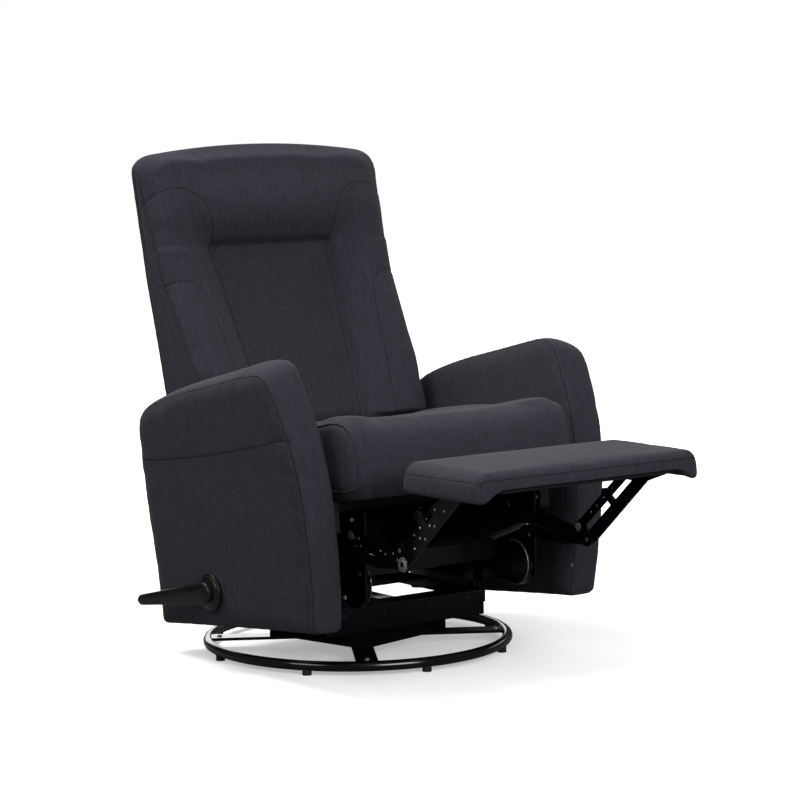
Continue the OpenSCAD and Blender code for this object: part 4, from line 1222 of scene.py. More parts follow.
@dataclass
class Arm(Cushion):
    """One padded arm, in the pitched frame."""

    side: int = -1
    length: float = 586.0
    height: float = 526.0
    low: float = 71.0
    rear: float = 199.0
    inner: float = 268.0
    foot_t: float = 70.0
    top_t: float = 88.0
    lean: float = 33.0
    edge: float = 12.0
    fall: float = 26.0
    inset: float = 2.0
    rim_front: float = 0.93
    rim_low: float = 0.80
    rim_rear: float = 0.05
    shares: tuple[Point, ...] = (
        (0, 0), (0.02, 0), (0.25, 0), (0.7, 0), (0.925, 0), (0.944, 0), (0.948, 0.02), (0.965, 0.09), (0.992, 0.28),
        (1, 0.5), (0.985, 0.66), (0.95, 0.8), (0.905, 0.93), (0.87, 0.985), (0.8, 0.998), (0.6, 0.97), (0.32, 0.932),
        (0.12, 0.88), (0.055, 0.83), (0.035, 0.74), (0.014, 0.5), (0.014, 0.27), (0.002, 0.03),
    )

    def outline(self, draw: float) -> np.ndarray:
        """Draws the side view as rows of distance and height, drawn in."""
        rows = np.array([(self.rear - a * self.length, self.low + b * self.height) for a, b in self.shares])
        return drawn_in(cut_corners(rows, 3), draw)

    def on_side(self, rows: np.ndarray, share: float, inset: float = 0.0) -> np.ndarray:
        """Sets rows of distance and height at a share of the arm's thickness, which grows with height.

        Args:
            rows: Rows of distance and height.
            share: 0 at the inner face, 1 at the outer.
            inset: How far both faces are drawn in.

        Returns:
            Points of the pitched frame.
        """
        level = (rows[:, 1] - self.low) / self.height
        thick = self.foot_t + (self.top_t - self.foot_t) * level
        x = self.inner + self.lean * level + inset + share * (thick - 2 * inset)
        return np.stack([self.side * x, rows[:, 0], rows[:, 1]], axis=1)

    def ring(self, share: float, inset: float) -> np.ndarray:
        """Gives the outline at a share of the arm's thickness, drawn in by the inset.

        Args:
            share: 0 at the inner face, 1 at the outer.
            inset: How far it is drawn in.

        Returns:
            Points of the pitched frame.
        """
        rows = self.outline(inset + edge_inset(min(share, 1 - share) * self.foot_t, self.edge))
        rise = np.clip((rows[:, 1] - self.low) / self.height, 0.0, None)
        rows[:, 1] -= self.fall * share * share * rise**4
        return self.on_side(rows, share, inset)

    def form(self) -> bpy.types.Object:
        """Builds the closed start form."""
        rings = [self.ring(s, self.inset) for s in eased_steps(25, 0.9)]
        return loft(self.name, CHAIR.pitched(np.array(rings)))

    def face_line(self, rows: Sequence[Point], outer: bool = True) -> np.ndarray:
        """Gives a smooth line on the outer or inner face through rows of distance and height."""
        return CHAIR.pitched(self.on_side(curved(rows), float(outer)))

    def rim_line(self, draw: float, outer: bool) -> np.ndarray:
        """Gives the line on a face, drawn in from the arm's outline along its top and front.

        Args:
            draw: How far it lies inside the outline.
            outer: Whether it is on the outer face.

        Returns:
            The line in metres.
        """
        rows = self.outline(draw)
        front, high = self.rear - self.rim_front * self.length, self.low + self.rim_low * self.height
        keep = (rows[:, 0] < front) | (rows[:, 1] > high)
        keep &= rows[:, 0] < self.rear - self.rim_rear * self.length
        level = (rows[:, 1] - self.low) / self.height
        rows[:, 1] -= self.fall * float(outer) * np.clip(level, 0.0, None) ** 4
        line = self.on_side(rows, float(outer))[keep]
        tall, long = line[:, 2] - self.low - 0.5 * self.height, line[:, 1] - self.rear + 0.6 * self.length
        return CHAIR.pitched(line[np.argsort(np.arctan2(tall, -long))])

    def seams(self) -> list[Seam]:
        """Gives the rim seams of both faces and the seam across the outer face.

        Returns:
            The three seams.
        """
        outer = Seam(self.rim_line(9.0, True), depth=1.8, width=3.0, pucker=0.5, stitches=(-5.0,))
        inner = Seam(self.rim_line(7.0, False), depth=1.5, width=3.0, pucker=0.4, stitches=(5.0,))
        rows = ((-383, 441), (-320, 436), (-271, 430), (-165, 420), (-55, 412), (60, 407), (180, 406))
        across = Seam(self.face_line(rows), depth=1.7, width=3.0, pucker=0.5, stitches=(-4.5, 4.5))
        return [outer, inner, across]


@dataclass(frozen=True)
class BackLines:
    """The lines that the back's pieces share, in the swivel frame."""

    low: float = 382.0
    top: float = 1002.0
    arch: float = 43.0
    half_top: float = 299.0
    half_low: float = 265.0
    cushion_low: float = 458.0
    head_low: float = 796.0
    panel_low: float = 115.0
    panel_top: float = 144.0
    panel_t: float = 12.0
    rear_rows: tuple[Point, ...] = ((382, 262), (506, 284), (735.4, 329), (958.6, 356), (1002, 356))
    floor_rows: tuple[Point, ...] = ((382, 150), (449, 150), (791.2, 312), (832, 322), (943, 337), (1002, 342))
    seam_rows: tuple[Point, ...] = (
        (382, 96), (554, 158), (622.6, 195), (732, 254), (831.5, 288), (943, 323), (1002, 330),
    )
    foot: float = 405.0
    corner: float = 46.0
    gap: float = 0.4
    seat_rear: float = 129.0
    seat_top: float = 440.0

    def crown(self, x: float) -> float:
        """Gives the height of the back's top line at a distance from the middle."""
        gap = max(0.0, self.half_top - abs(x))
        return self.top - self.arch * (x / self.half_top) ** 2 * 0.55 - 0.55 * edge_inset(gap, self.corner)

    def share(self, z: float) -> float:
        """Gives a height as a share of the back's own."""
        return (z - self.low) / (self.top - self.low)

    def rear(self, z: float) -> float:
        """Gives the rear face at a height."""
        return float(along(self.rear_rows, z))

    def floor(self, z: float) -> float:
        """Gives the board that the cushions lie on, at a height."""
        return float(along(self.floor_rows, z))

    def seam(self, z: float) -> float:
        """Gives the side seam at a height."""
        return float(along(self.seam_rows, z))

    def half(self, z: float) -> float:
        """Gives half the back's width at a height."""
        return self.half_low + (self.half_top - self.half_low) * max(0.0, self.share(z)) ** 1.3

    def panel_half(self, z: float) -> float:
        """Gives half the lumbar panel's width at a height."""
        share = (z - self.cushion_low) / (self.head_low - self.cushion_low)
        return self.panel_low + (self.panel_top - self.panel_low) * share


BACK = BackLines()


@dataclass
class LumbarPanel(Cushion):
    """The flat middle panel of the back."""

    finish: Finish = Finish.PANEL
    slot: str = "fabric_panel"

    def form(self) -> bpy.types.Object:
        """Builds the closed start form.

        Returns:
            The form.
        """
        span = BACK.head_low - BACK.foot

        def pair(z: float, c: float) -> tuple[Spot, Spot]:
            """Gives a point of the panel's front and the one behind it.

            Args:
                z: Height.
                c: Share across.

            Returns:
                Both points.
            """
            v = (z - BACK.foot) / span
            end = min(1.0, 0.5 + 4 * min(v, 1 - v))
            x, board = (2 * c - 1) * BACK.panel_half(z), BACK.floor(z) - BACK.gap
            swell = 0.62 + 0.38 * max(0.0, math.sin(math.pi * c)) ** 0.5
            return (x, board - (BACK.panel_t + 2.0) * end * swell, z), (x, board, z)

        return paired(self.name, BACK.foot + eased_steps(41, 0.6) * span, eased_steps(31, 0.6), pair)


@dataclass
class BackCushion(Cushion):
    """The stuffed cover round the lumbar panel: both bolsters and the head pillow in one sewn skin."""

    bolster_bulge: float = 30.0
    head_bulge: float = 43.0
    recess: float = 5.0
    edge: float = 7.0
    top_round: float = 34.0
    blend: float = 9.0
    fade: float = 0.55
    fade_low: float = 850.0
    fade_run: float = 110.0
    panel_run: float = 9.0
    head_run: float = 10.0
    seat_room: float = 70.0
    seat_run: float = 15.0
    foot_share: float = 0.55
    foot_run: float = 40.0
    columns: int = 141
    rows: int = 131

    def bolster(self, x: float, z: float) -> float:
        """Gives the bolsters' thickness at a point of the front.

        Args:
            x: Distance from the middle.
            z: Height.

        Returns:
            The thickness in millimetres.
        """
        half, inner = BACK.half(z), BACK.panel_half(min(z, 860.0))
        across = (half - abs(x)) / (half - inner)
        base = (BACK.floor(z) - BACK.seam(z)) * (1 - min(1.0, across)) + BACK.panel_t * min(1.0, across)
        swell = self.bolster_bulge * math.sin(math.pi * min(1.0, max(0.0, across)) ** 0.8)
        return base + swell

    def head(self, x: float, z: float) -> float:
        """Gives the head pillow's thickness at a point of the front.

        Args:
            x: Distance from the middle.
            z: Height.

        Returns:
            The thickness in millimetres.
        """
        v = (z - BACK.head_low) / (BACK.top - BACK.head_low)
        if v < 0.0:
            return 0.0
        body = max(0.0, math.sin(math.radians(180 * (1 - min(1.0, v)) ** 1.6 * 0.96 + 4)))
        u = min(1.0, abs(x) / BACK.half(z))
        return BACK.panel_t + self.head_bulge * body * max(0.02, 1 - u**3) ** 0.45 + (1 - body) * v * 8

    def thickness(self, x: float, z: float, low: float, high: float) -> float:
        """Gives the cover's thickness at a point of the front.

        Args:
            x: Distance from the middle.
            z: Height.
            low: Height of the cover's foot there.
            high: Height of its top there.

        Returns:
            The thickness in millimetres.
        """
        side = self.bolster(x, z)
        faded = side * (1.0 - self.fade * float(smooth_step((z - self.fade_low) / self.fade_run)))
        both = math.exp(faded / self.blend) + math.exp(self.head(x, z) / self.blend)
        deep = self.blend * math.log(both) - self.blend * 0.35
        inside = BACK.panel_half(z) - abs(x)
        if z < BACK.head_low and inside > 0.0:
            deep = self.recess
        elif z < BACK.head_low:
            deep = self.recess + (side - self.recess) * float(smooth_step(-inside / self.panel_run)) ** 0.5
        else:
            rise = float(smooth_step((z - BACK.head_low) / self.head_run)) ** 0.6 if inside > 0.0 else 1.0
            deep = self.recess + (deep - self.recess) * rise
        deep -= edge_inset(BACK.half(z) - abs(x), self.edge)
        deep -= 0.8 * edge_inset(high - z, self.top_round)
        room = BACK.floor(z) - BACK.seat_rear
        room += self.seat_room * float(smooth_step((z - BACK.seat_top) / self.seat_run))
        return max(1.0, min(deep, room) * min(1.0, self.foot_share + (z - low) / self.foot_run))

    def form(self) -> bpy.types.Object:
        """Builds the closed start form.

        Returns:
            The form.
        """
        def pair(v: float, u: float) -> tuple[Spot, Spot]:
            """Gives a point of the front and the one behind it.

            Args:
                v: Share of the height.
                u: Share across, from -1 to 1.

            Returns:
                Both points.
            """
            high = BACK.crown(u * BACK.half_top) - 1.5
            z = BACK.foot + v * (high - BACK.foot)
            x, board = u * (BACK.half(z) - 1.0), BACK.floor(z) - BACK.gap
            return (x, board - self.thickness(x, z, BACK.foot, high), z), (x, board, z)

        return paired(self.name, np.linspace(0.0, 1.0, self.rows), 2 * eased_steps(self.columns, 0.35) - 1, pair)

    def lie(self, rows: Sequence[Point]) -> np.ndarray:
        """Lays a smooth line of (distance from the middle, height) rows on the front.

        Args:
            rows: Points that the line passes.

        Returns:
            The line in metres.
        """
        line = curved(rows)
        deep = [self.thickness(x, z, BACK.foot, BACK.crown(x)) for x, z in line]
        return CHAIR.swivel(np.array([(x, BACK.floor(z) - d, z) for (x, z), d in zip(line, deep)]))

    def seams(self) -> list[Seam]:
        """Gives the curved seams of the head pillow and bolsters, and the welt along each side.

        Returns:
            The seams of both sides.
        """
        head = ((296, 884), (268, 905), (236, 914), (204, 912), (176, 896), (157, 868), (147, 834), (145, 800))
        low = ((293, 716), (268, 729), (243, 731), (220, 722), (206, 700), (200, 664), (195, 618), (188, 560),
               (182, 500), (180, 446))
        lines = []
        for side in (-1, 1):
            for rows in (head, low):
                line = self.lie([(side * x, z) for x, z in rows])
                lines.append(Seam(line, depth=1.7, width=3.0, pucker=0.45, stitches=(-4.5,)))
            welt = [(side * (BACK.half(z) - 1.0), BACK.seam(z) + 2.0, z) for z in np.linspace(BACK.foot + 4, 955.0, 60)]
            lines.append(Seam(CHAIR.swivel(np.array(welt)), depth=1.6, width=3.0, pucker=0.3))
        across = [(x, BACK.floor(BACK.head_low) - 8.0, BACK.head_low + 1.0) for x in np.linspace(-143, 143, 40)]
        lines.append(Seam(CHAIR.swivel(np.array(across)), depth=2.0, width=5.0, pucker=0.9))
        heights = np.linspace(BACK.foot + 4, BACK.head_low, 50)
        for side in (-1, 1):
            down = [(side * BACK.panel_half(z), BACK.floor(z) - 8.0, z) for z in heights]
            lines.append(Seam(CHAIR.swivel(np.array(down)), depth=1.5, width=4.0, pucker=0.5))
        return lines


@dataclass
class BackShell(Cushion):
    """The covered frame of the back: its wings, top and rear."""

    edge: float = 16.0
    shell: float = 8.0
    cavity_half: float = 252.0
    cavity_top: float = 740.0
    inset: float = 1.0
    top_round: float = 16.0

    def form(self) -> bpy.types.Object:
        """Builds the closed start form: down its outside, then up inside the hollow.

        Returns:
            The form.
        """
        steps = 2 * eased_steps(81, 0.92) - 1

        def pair(v: float, u: float) -> tuple[Spot, Spot]:
            """Gives a point of the front edge and the one at the rear.

            Args:
                v: Share of the height.
                u: Share across, from -1 to 1.

            Returns:
                Both points.
            """
            drop = edge_inset((1 - abs(u)) * BACK.half_low, self.edge) / 2
            high = BACK.crown(u * BACK.half_top) - 1.5
            z = BACK.low + v * (high - BACK.low)
            x = u * (BACK.half(z) - self.inset)
            rear = BACK.rear(z) - drop - self.inset - 0.7 * edge_inset(high - z, self.top_round)
            return (x, BACK.floor(z), z), (x, rear, z)

        hollow = []
        for z in np.linspace(BACK.low, self.cavity_top, 25):
            front = [(u * self.cavity_half, BACK.floor(z) + self.shell, z) for u in steps]
            rear = [(u * self.cavity_half, BACK.rear(z) - self.shell, z) for u in steps]
            hollow.append(front + rear[::-1])
        return paired(self.name, eased_steps(61, 0.5)[::-1], steps, pair, hollow)

    def wing_line(self, side: int) -> np.ndarray:
        """Gives the sewn line between a wing and the rear panel.

        Args:
            side: -1 for the right wing, 1 for the left.

        Returns:
            The line in metres.
        """
        rows = []
        for z in np.linspace(BACK.low + 6, BACK.crown(BACK.half_top) - 8.0, 60):
            rows.append((side * BACK.half(z), BACK.rear(z) - 9.0, z))
        return CHAIR.swivel(np.array(rows))

    def seams(self) -> list[Seam]:
        """Gives the seam between each wing and the rear."""
        return [Seam(self.wing_line(s), depth=1.8, width=3.0, pucker=0.5, stitches=(-5.0,)) for s in (-1, 1)]


@dataclass
class FootrestPad(Cushion):
    """The footrest's padded top, whose cover wraps down over both sides and round the front corners."""

    half: float = 263.0
    front: float = -740.0
    rear: float = -500.0
    foot: float = 410.0
    thick: float = 38.0
    crown: float = 6.0
    edge: float = 16.0
    side_edge: float = 30.0
    hem: float = 9.0
    turn: float = 24.0
    inset: float = 2.0
    skirt: float = 24.6
    skirt_t: float = 12.0
    corner: float = 62.0
    lip: float = 24.0
    lip_run: float = 8.0
    end_fall: float = 0.25
    end_run: float = 30.0

    def plan(self, x: float, y: float) -> tuple[float, float]:
        """Rounds the pad's corners in plan.

        Args:
            x: Distance from the middle.
            y: Distance along.

        Returns:
            The point after rounding.
        """
        for rim_y, way in ((self.front, 1.0), (self.rear, -1.0)):
            dx = abs(x) - (self.half - self.inset - self.turn)
            dy = (rim_y + way * (self.inset + self.turn) - y) * way
            if dx > 0.0 and dy > 0.0:
                pull = max(dx, dy) / math.hypot(dx, dy)
                x = math.copysign(self.half - self.inset - self.turn + dx * pull, x)
                y = rim_y + way * (self.inset + self.turn - dy * pull)
        return x, y

    def drop(self, x: float, y: float) -> float:
        """Gives how far the cover hangs below the pad at a point.

        Args:
            x: Distance from the middle.
            y: Distance along.

        Returns:
            The drop in millimetres.
        """
        side = smooth_step((abs(x) - (self.half - self.skirt_t - 2.0)) / 3.0)
        near = smooth_step((abs(x) - (self.half - self.corner)) / (self.corner - self.skirt_t))
        lip = smooth_step((self.front + self.lip - y) / self.lip_run)
        ends = 1.0 - self.end_fall * smooth_step((y - self.rear + self.end_run) / self.end_run)
        return self.skirt * float(max(side, near * lip)) * float(ends)

    def form(self) -> bpy.types.Object:
        """Builds the closed start form.

        Returns:
            The form.
        """
        length = self.rear - self.front
        top = self.foot + self.thick - self.crown - self.inset

        def pair(v: float, u: float) -> tuple[Spot, Spot]:
            """Gives a point of the top and the one of the hem below it.

            Args:
                v: Share along, from the front.
                u: Share across, from -1 to 1.

            Returns:
                Both points.
            """
            gap = (1 - abs(u)) * self.half
            x, y = u * (self.half - self.inset), self.front + self.inset + v * (length - 2 * self.inset)
            ease = edge_inset(min(v, 1 - v) * length, self.edge) + edge_inset(gap, self.side_edge)
            swell = self.crown * (1 - u * u) * (1 - (2 * v - 1) ** 2)
            fall = self.drop(x, y)
            hem = edge_inset(min(gap, (1 - v) * length, v * length), self.hem) * fall / self.skirt
            spot = self.plan(x, y)
            return (*spot, top - ease + swell), (*spot, self.foot + 0.5 - fall + hem)

        return paired(self.name, eased_steps(71, 0.8), 2 * eased_steps(121, 0.85) - 1, pair)

    def loop(self, drop: float) -> np.ndarray:
        """Gives a line along the front and both sides at a depth below the pad's top edge.

        Args:
            drop: Depth below the pad's top edge.

        Returns:
            The line in metres.
        """
        z = self.foot + self.thick - self.crown - drop
        corner = self.turn
        rows = [(-self.half, self.rear + 12.0, z - 4.0)]
        for side, start in ((-1, 180), (1, 270)):
            for angle in np.radians(np.linspace(start, start + 90, 10)):
                x = side * (self.half - corner) + corner * math.cos(angle)
                rows.append((x, self.front + corner + corner * math.sin(angle), z))
        rows.append((self.half, self.rear + 12.0, z - 4.0))
        return CHAIR.swivel(np.array(rows))

    def seams(self) -> list[Seam]:
        """Gives the seam along the pad's boxing."""
        return [Seam(self.loop(12.0), depth=1.6, width=3.0, pucker=0.5, stitches=(-4.5,))]


@dataclass
class LinedBoard(Cushion):
    """The footrest's board in its black lining."""

    finish: Finish = Finish.LINING
    half: float = 204.0
    front: float = -726.0
    rear: float = -514.0
    low: float = 402.0
    high: float = 410.0
    edge: float = 3.0
    sag: float = 1.0

    def form(self) -> bpy.types.Object:
        """Builds the closed form with eased edges.

        Returns:
            The form.
        """
        length = self.rear - self.front

        def pair(v: float, u: float) -> tuple[Spot, Spot]:
            """Gives a point of the board's top and the one below it.

            Args:
                v: Share along, from the front.
                u: Share across, from -1 to 1.

            Returns:
                Both points.
            """
            x, y = u * self.half, self.front + v * length
            ease = edge_inset(min(v, 1 - v) * length, self.edge) + edge_inset((1 - abs(u)) * self.half, self.edge)
            sag = self.sag * (1 - u * u) * (1 - (2 * v - 1) ** 2)
            return (x, y, self.high), (x, y, self.low + ease - sag)

        return paired(self.name, eased_steps(31, 0.8), 2 * eased_steps(41, 0.85) - 1, pair)

    def build(self) -> bpy.types.Object:
        """Makes, dresses and mounts the lined board.

        Returns:
            The board.
        """
        board = self.form()
        dress(board, self.finish, self.slot)
        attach(board, self.body)
        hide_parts(*self.replaces)
        return board


# Ironwork


class Ironwork:
    """Small parts of the mechanism and base that the frame's solids are too plain for."""

    DOME = ((0.0, 1.0), (0.5, 0.9), (0.85, 0.65), (1.0, 0.3))
    SHANK = 0.6
    WASHER_T = 1.0

    def __init__(self) -> None:
        """Starts with nothing made."""
        self.made: list[bpy.types.Object] = []

    def place(self, thing: bpy.types.Object, finish: Finish, body: str, slot: str = "steel_zinc") -> None:
        """Dresses a part and mounts it on its body.

        Args:
            thing: The part.
            finish: Its finish.
            body: The body it rides on.
            slot: The slot that it fills.
        """
        dress(thing, finish, slot)
        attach(thing, body)
        self.made.append(thing)

    def studs(self, name: str, spots: Sequence[Point], inner: float, outer: float, side: int, radius: float,
              dome: float = 0.8) -> bpy.types.Object:
        """Makes through rivets with a domed head on each face of a plate.

        Args:
            name: The piece's name.
            spots: Distance and height of each rivet, in millimetres in the swivel frame.
            inner: Distance of the plate's inner face from the middle.
            outer: Distance of its outer face.
            side: -1 for the sitter's right, 1 for the left.
            radius: The heads' radius.
            dome: How far the heads stand off the plate.

        Returns:
            The rivets as one piece.
        """
        rows = [(inner - a * dome, b) for a, b in self.DOME[::-1]] + [(inner + 0.1, self.SHANK)]
        rows += [(outer - 0.1, self.SHANK)] + [(outer + a * dome, b) for a, b in self.DOME]
        made = []
        for y, z in spots:
            profile = [(side * x * MM, r * radius * MM) for x, r in rows]
            made.append(turned("stud", profile, CHAIR.swivel(np.array((0.0, y, z))), "X", 20))
        return joined(name, made)

    def bolt(self, name: str, centre: Sequence[float], axis: str, way: int, radius: float,
             height: float) -> bpy.types.Object:
        """Makes a hexagon bolt head on its washer; sizes in millimetres in the swivel frame.

        Args:
            name: The piece's name.
            centre: Middle of the washer's seat.
            axis: X, Y or Z.
            way: 1 or -1 along the axis.
            radius: The head's radius.
            height: Height of washer and head.

        Returns:
            Washer and head as one piece.
        """
        at = CHAIR.swivel(np.array(centre))
        washer = ((0.0, 1.35), (0.9 * self.WASHER_T, 1.35), (self.WASHER_T, 1.2))
        head = ((self.WASHER_T, 0.97), (self.WASHER_T + 0.3, 1.0), (height - 0.6, 1.0), (height, 0.9))
        parts = []
        for rows, sides in ((washer, 28), (head, 6)):
            part = turned("part", [(way * run * MM, radius * k * MM) for run, k in rows], at, axis, sides)
            shaded(part.data, False)
            parts.append(part)
        return joined(name, parts)

    def spring(self, name: str, start: Sequence[float], end: Sequence[float], radius: float, wire: float,
               coils: int) -> bpy.types.Object:
        """Makes a closed-wound extension spring with a hook at each end; sizes in millimetres in the swivel frame.

        Args:
            name: The piece's name.
            start: Its first end.
            end: Its second end.
            radius: The coils' radius.
            wire: The wire's radius.
            coils: How many turns it has.

        Returns:
            The piece.
        """
        a, b = np.asarray(start, float), np.asarray(end, float)
        way = (b - a) / np.linalg.norm(b - a)
        side = np.cross(way, (1.0, 0.0, 0.0))
        side /= np.linalg.norm(side) + 1e-9
        other = np.cross(way, side)
        reach = np.linalg.norm(b - a)
        hook = 2.2 * radius
        line = [a + way * hook * t + side * radius * 0.3 * t for t in np.linspace(0.0, 1.0, 4)]
        for t in np.linspace(0.0, 1.0, coils * 12):
            angle = t * coils * 2 * math.pi
            out = radius * (math.cos(angle) * side + math.sin(angle) * other)
            line.append(a + way * (hook + (reach - 2 * hook) * t) + out)
        line += [b - way * hook * t for t in np.linspace(1.0, 0.0, 4)]
        return tube(name, CHAIR.swivel(np.array(line)), wire * MM, 6)

    def cloth_flap(self, name: str, half: float, y: float, low: float, high: float,
                   thick: float) -> bpy.types.Object:
        """Makes a hanging strip of lining with soft folds; sizes in millimetres in the swivel frame.

        Args:
            name: The piece's name.
            half: Half its width.
            y: Where it hangs.
            low: Height of its hem.
            high: Height of its upper edge.
            thick: Its thickness.

        Returns:
            The piece.
        """
        def pair(x: float, z: float) -> tuple[Spot, Spot]:
            """Gives a point of the strip's front and the one behind it.

            Args:
                x: Distance from the middle.
                z: Height.

            Returns:
                Both points.
            """
            wave = 1.6 * math.sin(x / 27.0) + 0.9 * math.sin(x / 11.0 + 1.0)
            middle = y + wave * (high - z) / (high - low)
            side = thick / 2 + 0.6 * math.exp(-((z - low) / 5.0) ** 2)
            return (x, middle - side, z), (x, middle + side, z)

        return paired(name, np.linspace(-half, half, 95), np.linspace(low, high, 17), pair)


# Stage


@dataclass(frozen=True)
class Camera:
    """The photograph's camera, in metres in the row frame."""

    place: Spot = (-3.15718, -4.29100, 1.09429)
    right: Spot = (0.80683, -0.59059, -0.01492)
    up: Spot = (0.07638, 0.07924, 0.99393)
    back: Spot = (-0.58582, -0.80307, 0.10904)
    lens: float = 124.83
    sensor: float = 36.0
    far: float = 60.0

    def build(self) -> None:
        """Sets the scene's camera."""
        data = bpy.data.cameras.new("photo_camera")
        data.lens, data.sensor_width, data.clip_end = self.lens, self.sensor, self.far
        camera = linked("photo_camera", data)
        turn = Matrix((self.right, self.up, self.back)).transposed().to_4x4()
        camera.matrix_world = Matrix.Translation(self.place) @ turn
        bpy.context.scene.camera = camera


@dataclass(frozen=True)
class Lamp:
    """One soft area light."""

    name: str
    place: Spot
    size: float
    watts: float
    aim: Spot = (0.0, 0.0, 0.45)

    def build(self) -> None:
        """Adds the light."""
        data = bpy.data.lights.new(self.name, "AREA")
        data.shape, data.size, data.energy = "SQUARE", self.size, self.watts
        lamp = linked(self.name, data)
        lamp.location = self.place
        lamp.rotation_euler = (Vector(self.aim) - Vector(self.place)).to_track_quat("-Z", "Y").to_euler()


@dataclass
class Studio:
    """A pale sweep, soft light and the camera."""

    lamps: tuple[Lamp, ...] = (
        Lamp("key", (-0.8, 1.4, 3.2), 1.5, 92.0),
        Lamp("side", (-3.3, -0.7, 2.4), 1.6, 34.0),
        Lamp("left", (3.4, 0.5, 2.2), 2.2, 24.0),
        Lamp("front", (-0.4, -4.4, 2.3), 2.4, 137.0),
        Lamp("rear", (1.6, 4.2, 1.7), 2.4, 36.0),
    )
    floor_half: float = 14.0
    above: float = 0.5
    below: float = 0.06
    mirrored: float = 0.3
    floor_glow: float = 0.36
    edge_glow: float = 1.05
    glow_run: Point = (0.8, 2.6)
    sky_run: Point = (-0.05, 0.75)
    sky: Rgb = (0.97, 0.98, 1.0)
    shown: tuple[Rgb, Rgb] = ((0.84, 0.84, 0.85), (0.87, 0.87, 0.87))
    bounced: tuple[Rgb, Rgb] = ((0.16, 0.16, 0.17), (0.18, 0.18, 0.18))

    def build(self) -> None:
        """Sets up floor, light, camera and view."""
        scene = bpy.context.scene
        scene.view_settings.view_transform = "Standard"
        Camera().build()
        for lamp in self.lamps:
            lamp.build()
        self._world(scene)
        self._floor()
        LOG.info("studio: %d lamps", len(self.lamps))

    def _world(self, scene: bpy.types.Scene) -> None:
        """Makes a surround that is white to the camera and soft to the object.

        Args:
            scene: The scene that it surrounds.
        """
        world = bpy.data.worlds.new("surround")
        world.use_nodes = True
        world.node_tree.nodes.clear()
        n = Nodes(world.node_tree)
        path = n.add("ShaderNodeLightPath")
        seen = n.maths("MAXIMUM", path.outputs["Is Camera Ray"], path.outputs["Is Transmission Ray"])
        white = n.add("ShaderNodeBackground", {"Color": (1, 1, 1, 1), "Strength": 1.0})
        way = n.add("ShaderNodeTexCoord").outputs["Generated"]
        height = n.add("ShaderNodeSeparateXYZ", {0: way}).outputs[2]
        strength = n.ranged(height, *self.sky_run, self.below, self.above)
        shiny = n.ranged(path.outputs["Is Glossy Ray"], 0.0, 1.0, 1.0, self.mirrored)
        strength = n.maths("MULTIPLY", strength, shiny)
        soft = n.add("ShaderNodeBackground", {"Color": (*self.sky, 1), "Strength": strength})
        mix = n.add("ShaderNodeMixShader", {0: seen, 1: soft.outputs[0], 2: white.outputs[0]})
        out = n.add("ShaderNodeOutputWorld", {0: mix.outputs[0]})
        out.is_active_output = True
        scene.world = world

    def _floor(self) -> None:
        """Makes the pale floor, which keeps the chair's shadow."""
        h = self.floor_half
        corners = np.array([(-h, -h, 0), (h, -h, 0), (h, h, 0), (-h, h, 0)])
        floor = new_object("floor", corners, [(0, 1, 2, 3)], False)
        material, n, shader = new_material("studio_floor")
        spot = n.add("ShaderNodeTexCoord").outputs["Object"]
        cloud = n.noise(spot, 1.2)
        shown, bounced = (n.tinted(cloud, *((*tone, 1) for tone in pair)) for pair in (self.shown, self.bounced))
        n.fill(shader, {"Base Color": shown, "Roughness": 0.9, "Specular IOR Level": 0.0})
        path = n.add("ShaderNodeLightPath")
        away = n.add("ShaderNodeVectorMath", {0: spot}, operation="LENGTH").outputs["Value"]
        strength = n.ranged(away, *self.glow_run, self.floor_glow, self.edge_glow)
        glow = n.add("ShaderNodeEmission", {"Color": (1, 1, 1, 1), "Strength": strength})
        both = n.add("ShaderNodeAddShader", {0: shader.outputs[0], 1: glow.outputs[0]})
        dim = n.add("ShaderNodeBsdfDiffuse", {"Color": bounced})
        mix = n.add("ShaderNodeMixShader", {0: path.outputs["Is Camera Ray"], 1: dim.outputs[0], 2: both.outputs[0]})
        out = next(k for k in material.node_tree.nodes if k.type == "OUTPUT_MATERIAL")
        n.fill(out, {0: mix.outputs[0]})
        floor.data.materials.append(material)


# Sub-assemblies


def kept(**nodes: str) -> dict[str, Finish]:
    """Reads the names of kept CAD nodes, listed by finish."""
    return {name: Finish[finish] for finish, names in nodes.items() for name in names.split()}


@dataclass
class SubAssembly:
    """A part of the chair: the CAD nodes that it keeps, each with its finish."""

    keeps: dict[str, Finish] = field(default_factory=dict)

    def dress_nodes(self) -> None:
        """Gives each kept CAD node its finish."""
        for name, finish in self.keeps.items():
            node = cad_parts[name]
            if not node.material_slots:
                node.data.materials.append(None)
            for place in node.material_slots:
                place.material = finish.material

    def build(self) -> None:
        """Builds what the CAD lacks and dresses the rest."""
        self.dress_nodes()


@dataclass
class Base(SubAssembly):
    """The floor ring with its feet, cross bars, pan and bearing."""

    keeps: dict[str, Finish] = field(default_factory=lambda: kept(
        GLOSS="ring cross_bars", RUBBER="feet", SATIN="hub_pan", GREY="race_lower race_upper",
        ZINC="race_balls king_bolt"))
    bar_turn: float = 58.2
    screw_at: float = 277.0
    bar_top: float = 26.0

    def build(self) -> None:
        """Adds the screws at the ends of the cross bars."""
        self.dress_nodes()
        iron = Ironwork()
        for k in range(4):
            angle = math.radians(self.bar_turn + 90 * k)
            at = (self.screw_at * math.cos(angle), self.screw_at * math.sin(angle), self.bar_top)
            iron.place(iron.bolt(f"bar_screw_{k}", at, "Z", 1, 4.2, 3.2), Finish.ZINC, "base")
        LOG.info("base: %d screws", len(iron.made))


